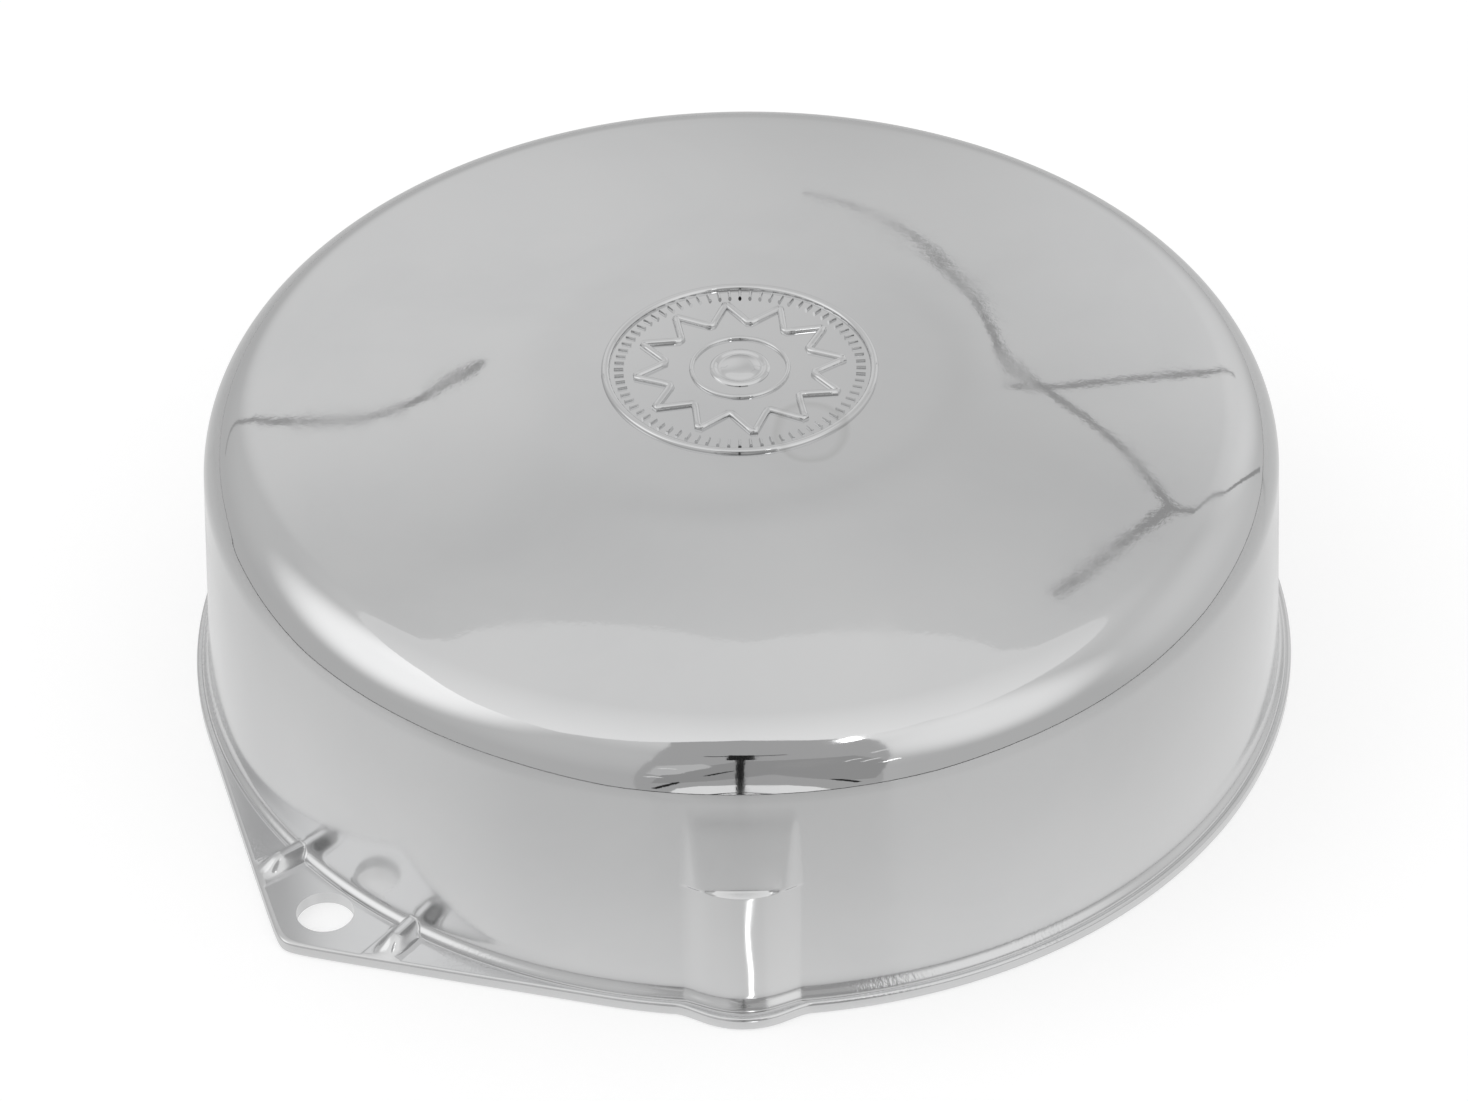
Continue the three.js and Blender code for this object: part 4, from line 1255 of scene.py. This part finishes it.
def make_wing_nut():
    """The wing nut: a hub with two wings."""
    hub = [(STUD_HOLE, 0.45), (3.15, 0), (4.1, 0), (4.4, 0.3)]
    hub += [(3.75, 2.25), (3.5, 2.6), (3.1, 2.6), (STUD_HOLE, 2.25)]
    nut = lathe("wing_nut_body", hub)
    path = [(2.9, 0.3), (6, 0.5)]
    path += quadratic((6, 0.5), (11.4, 1.2), (11, 2.9))
    path += quadratic((11, 2.9), (9.6, 4), (7.4, 3))
    path += [(2.9, 2.4)]
    for side in (-1, 1):
        wing = prism("wing", [(side * x, z) for x, z in path], -0.9, 0.9)
        wing.data.transform(Matrix.Rotation(math.pi / 2, 4, "X"))
        finish_mesh(wing)
        bevelled(wing, width=0.42, segments=3)
        joined(nut, wing)
    cut_away(nut, capsule("bore", (0, 0), -1, 4, STUD_HOLE))
    dress(moved(nut, z=extent("wing_nut")[0][2]), "nut", "brass", "wing_nut")


def make_clamp():
    """What holds the element down: seal, washer and wing nut."""
    seal = ring_at("seal", "stud_seal", STUD_HOLE, edge=0.3)
    dress(seal, "clamp", "rubber", "stud_seal")
    washer = ring_at("washer", "clamp_washer", STUD_HOLE, edge=0.2)
    dress(washer, "clamp", "zinc_plate", "clamp_washer")
    make_wing_nut()


make_emblem()
make_back_plate()
make_screen()
make_bridge()
make_rubber()
make_screw("front", -1)
make_screw("rear", 1)
make_element()
make_clamp()

# ---- Studio: a white table in a soft light tent, with its seams and its open front ----


def stage_look(name, strength):
    """A white glow of that radiance."""
    material = bpy.data.materials.new(name)
    material.use_nodes = True
    tree = material.node_tree
    tree.nodes.clear()
    emission = tree.nodes.new("ShaderNodeEmission")
    emission.inputs["Strength"].default_value = strength
    output = tree.nodes.new("ShaderNodeOutputMaterial")
    tree.links.new(emission.outputs["Emission"], output.inputs["Surface"])
    return material


def only_in_reflections(made, material):
    """Leaves a piece of the stage, in its material, to be seen by mirrors alone."""
    made.data.materials.append(material)
    made.visible_camera = False
    made.visible_diffuse = False
    made.visible_shadow = False
    made.visible_transmission = False


def direction(azimuth, elevation, distance):
    """The point at an azimuth and elevation, in degrees, and a distance from the housing."""
    a, e = math.radians(azimuth), math.radians(elevation)
    flat = distance * math.cos(e)
    return (flat * math.cos(a), flat * math.sin(a), 20 + distance * math.sin(e))


def tube(name, kind, places, thickness, material):
    """A mirrored tube through points in millimetres, as its curve and its spline."""
    curve = bpy.data.curves.new(name, "CURVE")
    curve.dimensions = "3D"
    curve.bevel_depth = thickness / 2 * MM
    spline = curve.splines.new(kind)
    spline.points.add(len(places) - 1)
    for point, place in zip(spline.points, places):
        point.co = (*(c * MM for c in place), 1)
    made = bpy.data.objects.new(name, curve)
    bpy.context.scene.collection.objects.link(made)
    only_in_reflections(made, material)
    return curve, spline


def seam(name, material, thickness, distance, taper, places):
    """A tube through directions of the tent, whose thickness starts at a share of its end's."""
    points = [direction(azimuth, elevation, distance) for azimuth, elevation in places]
    curve, spline = tube(name, "NURBS", points, thickness, material)
    curve.bevel_resolution = 2
    spline.order_u, spline.use_endpoint_u, spline.resolution_u = 3, True, 8
    for i, point in enumerate(spline.points):
        point.radius = taper + (1 - taper) * i / (len(points) - 1)


# Soft lights of the tent: azimuth, elevation, radius at full strength, radius at none, and radiance
GLOWS = [
    (185, 40, 7, 33, 0.58),
    (322, 34, 6, 30, 0.35),
    (105, 27, 3, 22, 0.16),
    (62, 20, 4, 26, 0.2),
    (286, 60, 3, 20, 0.12),
    (20, 12, 6, 40, 0.12),
]
# The walls' own grey by elevation
ROOM = [
    (-10, 0.56), (4, 0.56), (20, 0.62), (33, 0.64), (42, 0.64), (48, 0.67), (56, 0.74), (90, 0.8),
]
# The height of the lowest direction that they cover, on a sphere of radius 1
LOWEST = -0.2


def make_world():
    """The tent's walls: grey by elevation, with soft lights behind them."""
    world = bpy.data.worlds.new("tent")
    bpy.context.scene.world = world
    world.use_nodes = True
    tree = world.node_tree
    background = tree.nodes["Background"]
    place = tree.nodes.new("ShaderNodeTexCoord").outputs["Generated"]
    split = tree.nodes.new("ShaderNodeSeparateXYZ")
    tree.links.new(place, split.inputs["Vector"])
    spread = tree.nodes.new("ShaderNodeMapRange")
    spread.inputs["From Min"].default_value = LOWEST
    tree.links.new(split.outputs["Z"], spread.inputs["Value"])
    ramp = tree.nodes.new("ShaderNodeValToRGB")
    tree.links.new(spread.outputs["Result"], ramp.inputs["Fac"])
    elements = ramp.color_ramp.elements
    while len(elements) < len(ROOM):
        elements.new(0.5)
    for element, (elevation, value) in zip(elements, ROOM):
        element.position = (math.sin(math.radians(elevation)) - LOWEST) / (1 - LOWEST)
        element.color = (value, value, value, 1)
    total = ramp.outputs["Color"]
    for azimuth, elevation, full, none, radiance in GLOWS:
        a, e = math.radians(azimuth), math.radians(elevation)
        heading = (math.cos(a) * math.cos(e), math.sin(a) * math.cos(e), math.sin(e))
        towards = tree.nodes.new("ShaderNodeVectorMath")
        towards.operation = "DOT_PRODUCT"
        towards.inputs[1].default_value = heading
        tree.links.new(place, towards.inputs[0])
        fall = tree.nodes.new("ShaderNodeMapRange")
        fall.interpolation_type = "SMOOTHSTEP"
        fall.inputs["From Min"].default_value = math.cos(math.radians(none))
        fall.inputs["From Max"].default_value = math.cos(math.radians(full))
        fall.inputs["To Max"].default_value = radiance
        tree.links.new(towards.outputs["Value"], fall.inputs["Value"])
        add = tree.nodes.new("ShaderNodeVectorMath")
        add.operation = "ADD"
        tree.links.new(total, add.inputs[0])
        tree.links.new(fall.outputs["Result"], add.inputs[1])
        total = add.outputs["Vector"]
    tree.links.new(total, background.inputs["Color"])


# How far the table that the chrome mirrors reaches: azimuth in degrees, radius in millimetres
TABLE = [
    (0, 210), (30, 320), (60, 900), (120, 900), (140, 700), (163, 215), (191, 160),
    (214, 185), (232, 185), (250, 150), (270, 156), (300, 150), (315, 170), (340, 185),
]


def table_edge(z):
    """Points round the mirrored table, at a height."""
    around = np.arange(0.0, 360.0, 3.0)
    reach = np.interp(around, [a for a, _ in TABLE], [r for _, r in TABLE], period=360)
    turn = np.radians(around)
    return np.stack([reach * np.cos(turn), reach * np.sin(turn), np.full(len(turn), z)], -1)


def fan(name, points, middle):
    """A flat-sided panel: triangles from a middle to a closed line of points."""
    count = len(points)
    faces = [(i, (i + 1) % count, count) for i in range(count)]
    return mesh_object(name, np.concatenate([points, [middle]]), faces)


def make_floor():
    """The white table, and below it the greyer one that the chrome mirrors."""
    place = (0, 0, -0.04 * MM)
    bpy.ops.mesh.primitive_circle_add(vertices=64, radius=4, fill_type="NGON", location=place)
    floor = bpy.context.object
    floor.name = "floor"
    look = Look("table", Roughness=0.6)
    look.colour(look.ramp(look.noise(3, 2), [(0.3, 0.6), (0.7, 0.62)]))
    look.shader.inputs["Specular IOR Level"].default_value = 0.0
    look.shader.inputs["Emission Color"].default_value = (1, 1, 1, 1)
    look.shader.inputs["Emission Strength"].default_value = 0.55
    floor.data.materials.append(look.material)
    floor.visible_glossy = False
    depth = -0.06
    mirrored = fan("floor_mirrored", table_edge(depth), (0, 0, depth))
    look = Look("table_gloss", Roughness=0.5, Coat_Weight=0.8, Coat_Roughness=0.12, Coat_IOR=1.8)
    look.shader.inputs["Base Color"].default_value = (0.4, 0.4, 0.4, 1)
    look.shader.inputs["Specular IOR Level"].default_value = 0.0
    near = look.node("ShaderNodeTexGradient", gradient_type="SPHERICAL")
    look.link(look.stretched(1 / 0.2, 1 / 0.2, 0), near.inputs["Vector"])
    glow = look.ramp(near.outputs["Fac"], [(0.1, 0.22), (0.45, 0.27), (0.56, 0.35), (0.68, 0.5)])
    look.link(glow, look.shader.inputs["Emission Color"])
    look.shader.inputs["Emission Strength"].default_value = 1.0
    mirrored.data.materials.append(look.material)
    mirrored.visible_camera = mirrored.visible_diffuse = False


def make_streak(material):
    """A narrow bright card on the table, which a face of the boss mirrors as an upright streak."""
    start, turn = (0.6, -66.2), math.radians(281.6)
    (near, far), (narrow, wide) = (4.5, 26), (1.1, 3.4)
    out = np.array([math.cos(turn), math.sin(turn)])
    side = np.array([-out[1], out[0]])
    vertices, steps = [], 24
    for i in range(steps + 1):
        share = i / steps
        at = near + (far - near) * share
        bend = 0.075 * at * math.sin(0.33 * at)
        half = (narrow + (wide - narrow) * share) / 2
        for across in (bend - half, bend + half):
            vertices.append((*(start + out * at + side * across), 0.02))
    faces = [(2 * i, 2 * i + 1, 2 * i + 3, 2 * i + 2) for i in range(steps)]
    only_in_reflections(mesh_object("streak_card", vertices, faces), material)


def panel(name, material, distance, outline):
    """A panel of the tent through directions."""
    points = np.array([direction(a, e, distance) for a, e in outline])
    only_in_reflections(fan(name, points, points.mean(0)), material)


# Where the tent's roof begins: azimuth and elevation
ROOF = [
    (-35, 52.5), (20, 54), (71.1, 56.2), (90.9, 59), (113, 54.2), (145, 52), (183.9, 51.6),
    (205, 47), (227.2, 46), (236, 50.8), (244.2, 55), (257, 63), (269, 66), (281, 64),
    (297.2, 56), (309.8, 54.5), (319, 55.8),
]


def make_roof():
    """The tent's roof, brighter overhead and to the front."""
    distance = 915
    azimuths = np.arange(0.0, 360.0, 3.0)
    ends = np.interp(azimuths, [a for a, _ in ROOF], [e for _, e in ROOF], period=360)
    shares = np.linspace(0, 1, 9)
    vertices = []
    for share in shares[:-1]:
        vertices += [direction(a, e + (90 - e) * share, distance) for a, e in zip(azimuths, ends)]
    vertices.append(direction(0, 90, distance))
    count, rows = len(azimuths), len(shares) - 1
    faces = grid_faces(rows, count)
    last = (rows - 1) * count
    faces += [(last + j, last + (j + 1) % count, len(vertices) - 1) for j in range(count)]
    made = mesh_object("roof", vertices, faces)
    look = Look("roof_light", Roughness=1.0)
    tree = look.tree
    tree.nodes.remove(look.shader)
    emission = tree.nodes.new("ShaderNodeEmission")
    split = look.node("ShaderNodeSeparateXYZ")
    look.link(look.place, split.inputs["Vector"])
    forward = look.spread(split.outputs["Y"], 1.06, 0.82, (-0.75, 0.35))
    look.link(forward, emission.inputs["Strength"])
    look.link(emission.outputs["Emission"], tree.nodes["Material Output"].inputs["Surface"])
    only_in_reflections(made, look.material)


# Radiances of the stage's looks
STAGE_LOOKS = {
    "seam_dark": 0.36, "camera_dark": 0.02, "opening": 0.36, "lamp": 4.0, "card": 2.4,
    "opening_grey": 0.46, "opening_white": 0.95, "opening_pale": 0.6,
}
# Name, look, thickness, distance, taper, and azimuths and elevations
SEAMS = [
    ("seam_back", "seam_dark", 7, 900, 0.25,
     [(87.9, 23.3), (86.5, 23.7), (84.7, 24.8), (82.6, 26.4), (80.4, 28.7), (78.8, 30.7),
      (77.4, 33.2), (75.9, 36.1), (74.2, 37.9), (71.9, 39.3), (68.2, 41), (65.4, 43.3)]),
    ("seam_low", "seam_dark", 6, 900, 1,
     [(75.2, 38), (72.9, 36.4), (69.7, 34.1), (68.6, 32.9), (61.5, 26.8), (56.5, 19.8)]),
    ("seam_corner", "seam_dark", 17, 900, 0.45,
     [(65.4, 43.3), (58.4, 41.8), (44.6, 34.8), (40.4, 29), (38.2, 23.4), (36.9, 17.6),
      (36.5, 11.7), (36.8, 5.5), (37.8, 0)]),
    ("seam_roof", "seam_dark", 7, 900, 1, [(65.4, 43.3), (66.3, 47.5), (68.4, 52)]),
    ("seam_left", "seam_dark", 7, 900, 1.4,
     [(138.2, 6.2), (135.4, 8.6), (132.4, 13.5), (129.1, 20.7), (126.3, 25.3), (121.1, 30.7),
      (113.6, 35.1), (112.5, 36.3), (110.6, 37.6), (108.4, 37.9), (106.5, 37.4), (104.4, 35.3)]),
    ("room_arch", "camera_dark", 18, 840, 1,
     [(254, -12), (257, -3), (261, 8), (269.6, 24), (276.5, 21), (281, 10), (288, -3),
      (291, -10)]),
    ("photo_camera_arm", "camera_dark", 9, 700, 1, [(262, 40.5), (269, 42), (279, 41.5)]),
    ("photo_camera_column", "camera_dark", 17, 700, 1, [(269.5, 40), (269.5, 8), (269.5, -27)]),
    ("tripod_legs", "camera_dark", 12, 700, 1,
     [(253, -22), (262, -18), (269.5, -10), (276, -17), (284, -21)]),
]
# Name, look, distance, and azimuths and elevations
PANELS = [
    ("tent_opening", "opening_grey", 1250,
     [(250.3, -30), (250.3, 3), (250.7, 12.5), (251.9, 32), (251.6, 54), (249.8, 59.5),
      (257, 64.6), (269, 67.3), (281.4, 65.5), (291.8, 61.7), (300, 56), (300.5, 45),
      (299.4, 33), (298.4, 20.5), (295.5, 7.7), (296, -30)]),
    ("room_dark", "opening", 860,
     [(253.5, -4), (256, 14), (262, 26), (269.5, 35), (281, 34), (292, 30), (297, 14),
      (294, -8), (288, -4), (280, 10), (269.5, 19), (260, 6)]),
    ("room_wall", "opening_pale", 855,
     [(252.5, 10), (254, 23), (262, 30), (266, 24), (262, 14), (257, 8)]),
    ("room_floor", "opening_white", 850,
     [(256, -20), (258, -9), (262, -3), (269.3, 0), (278, -3), (283, -9), (288, -20)]),
    ("photo_camera", "camera_dark", 700, [(266.6, 36), (266.8, 43), (272.3, 43), (272.4, 36)]),
    ("lamp_right", "lamp", 840, [(293.5, 50), (293.8, 55), (299, 57), (299, 51)]),
    ("lamp_middle", "lamp", 840, [(280.3, 24), (280.6, 28), (284.6, 29), (284.4, 25)]),
]
# Small bright things beyond the opening: look, azimuth, elevation and thickness
SPECKS = [
    ("opening_white", 297, 30, 12),
    ("opening_white", 294, 20, 14),
    ("lamp", 297.5, 14, 9),
    ("opening_white", 291, 24, 10),
    ("opening_white", 254, 6, 12),
    ("opening_white", 256, 20, 9),
]


def make_tent():
    """The seams, panels and lamps of the tent, as the chrome mirrors them."""
    looks = {name: stage_look(name, strength) for name, strength in STAGE_LOOKS.items()}
    make_roof()
    for name, look, *rest in SEAMS:
        seam(name, looks[look], *rest)
    _, spline = tube("table_edge", "POLY", table_edge(0.4), 1.8, looks["camera_dark"])
    spline.use_cyclic_u = True
    make_streak(looks["card"])
    for name, look, *rest in PANELS:
        panel(name, looks[look], *rest)
    for i, (look, azimuth, elevation, thickness) in enumerate(SPECKS, 1):
        places = [(azimuth - 1.5, elevation - 1), (azimuth, elevation + 1)]
        places.append((azimuth + 1.6, elevation))
        seam(f"speck_{i}", looks[look], thickness, 830, 1, places)


make_world()
make_floor()
make_tent()
bpy.context.scene.view_settings.view_transform = "Standard"
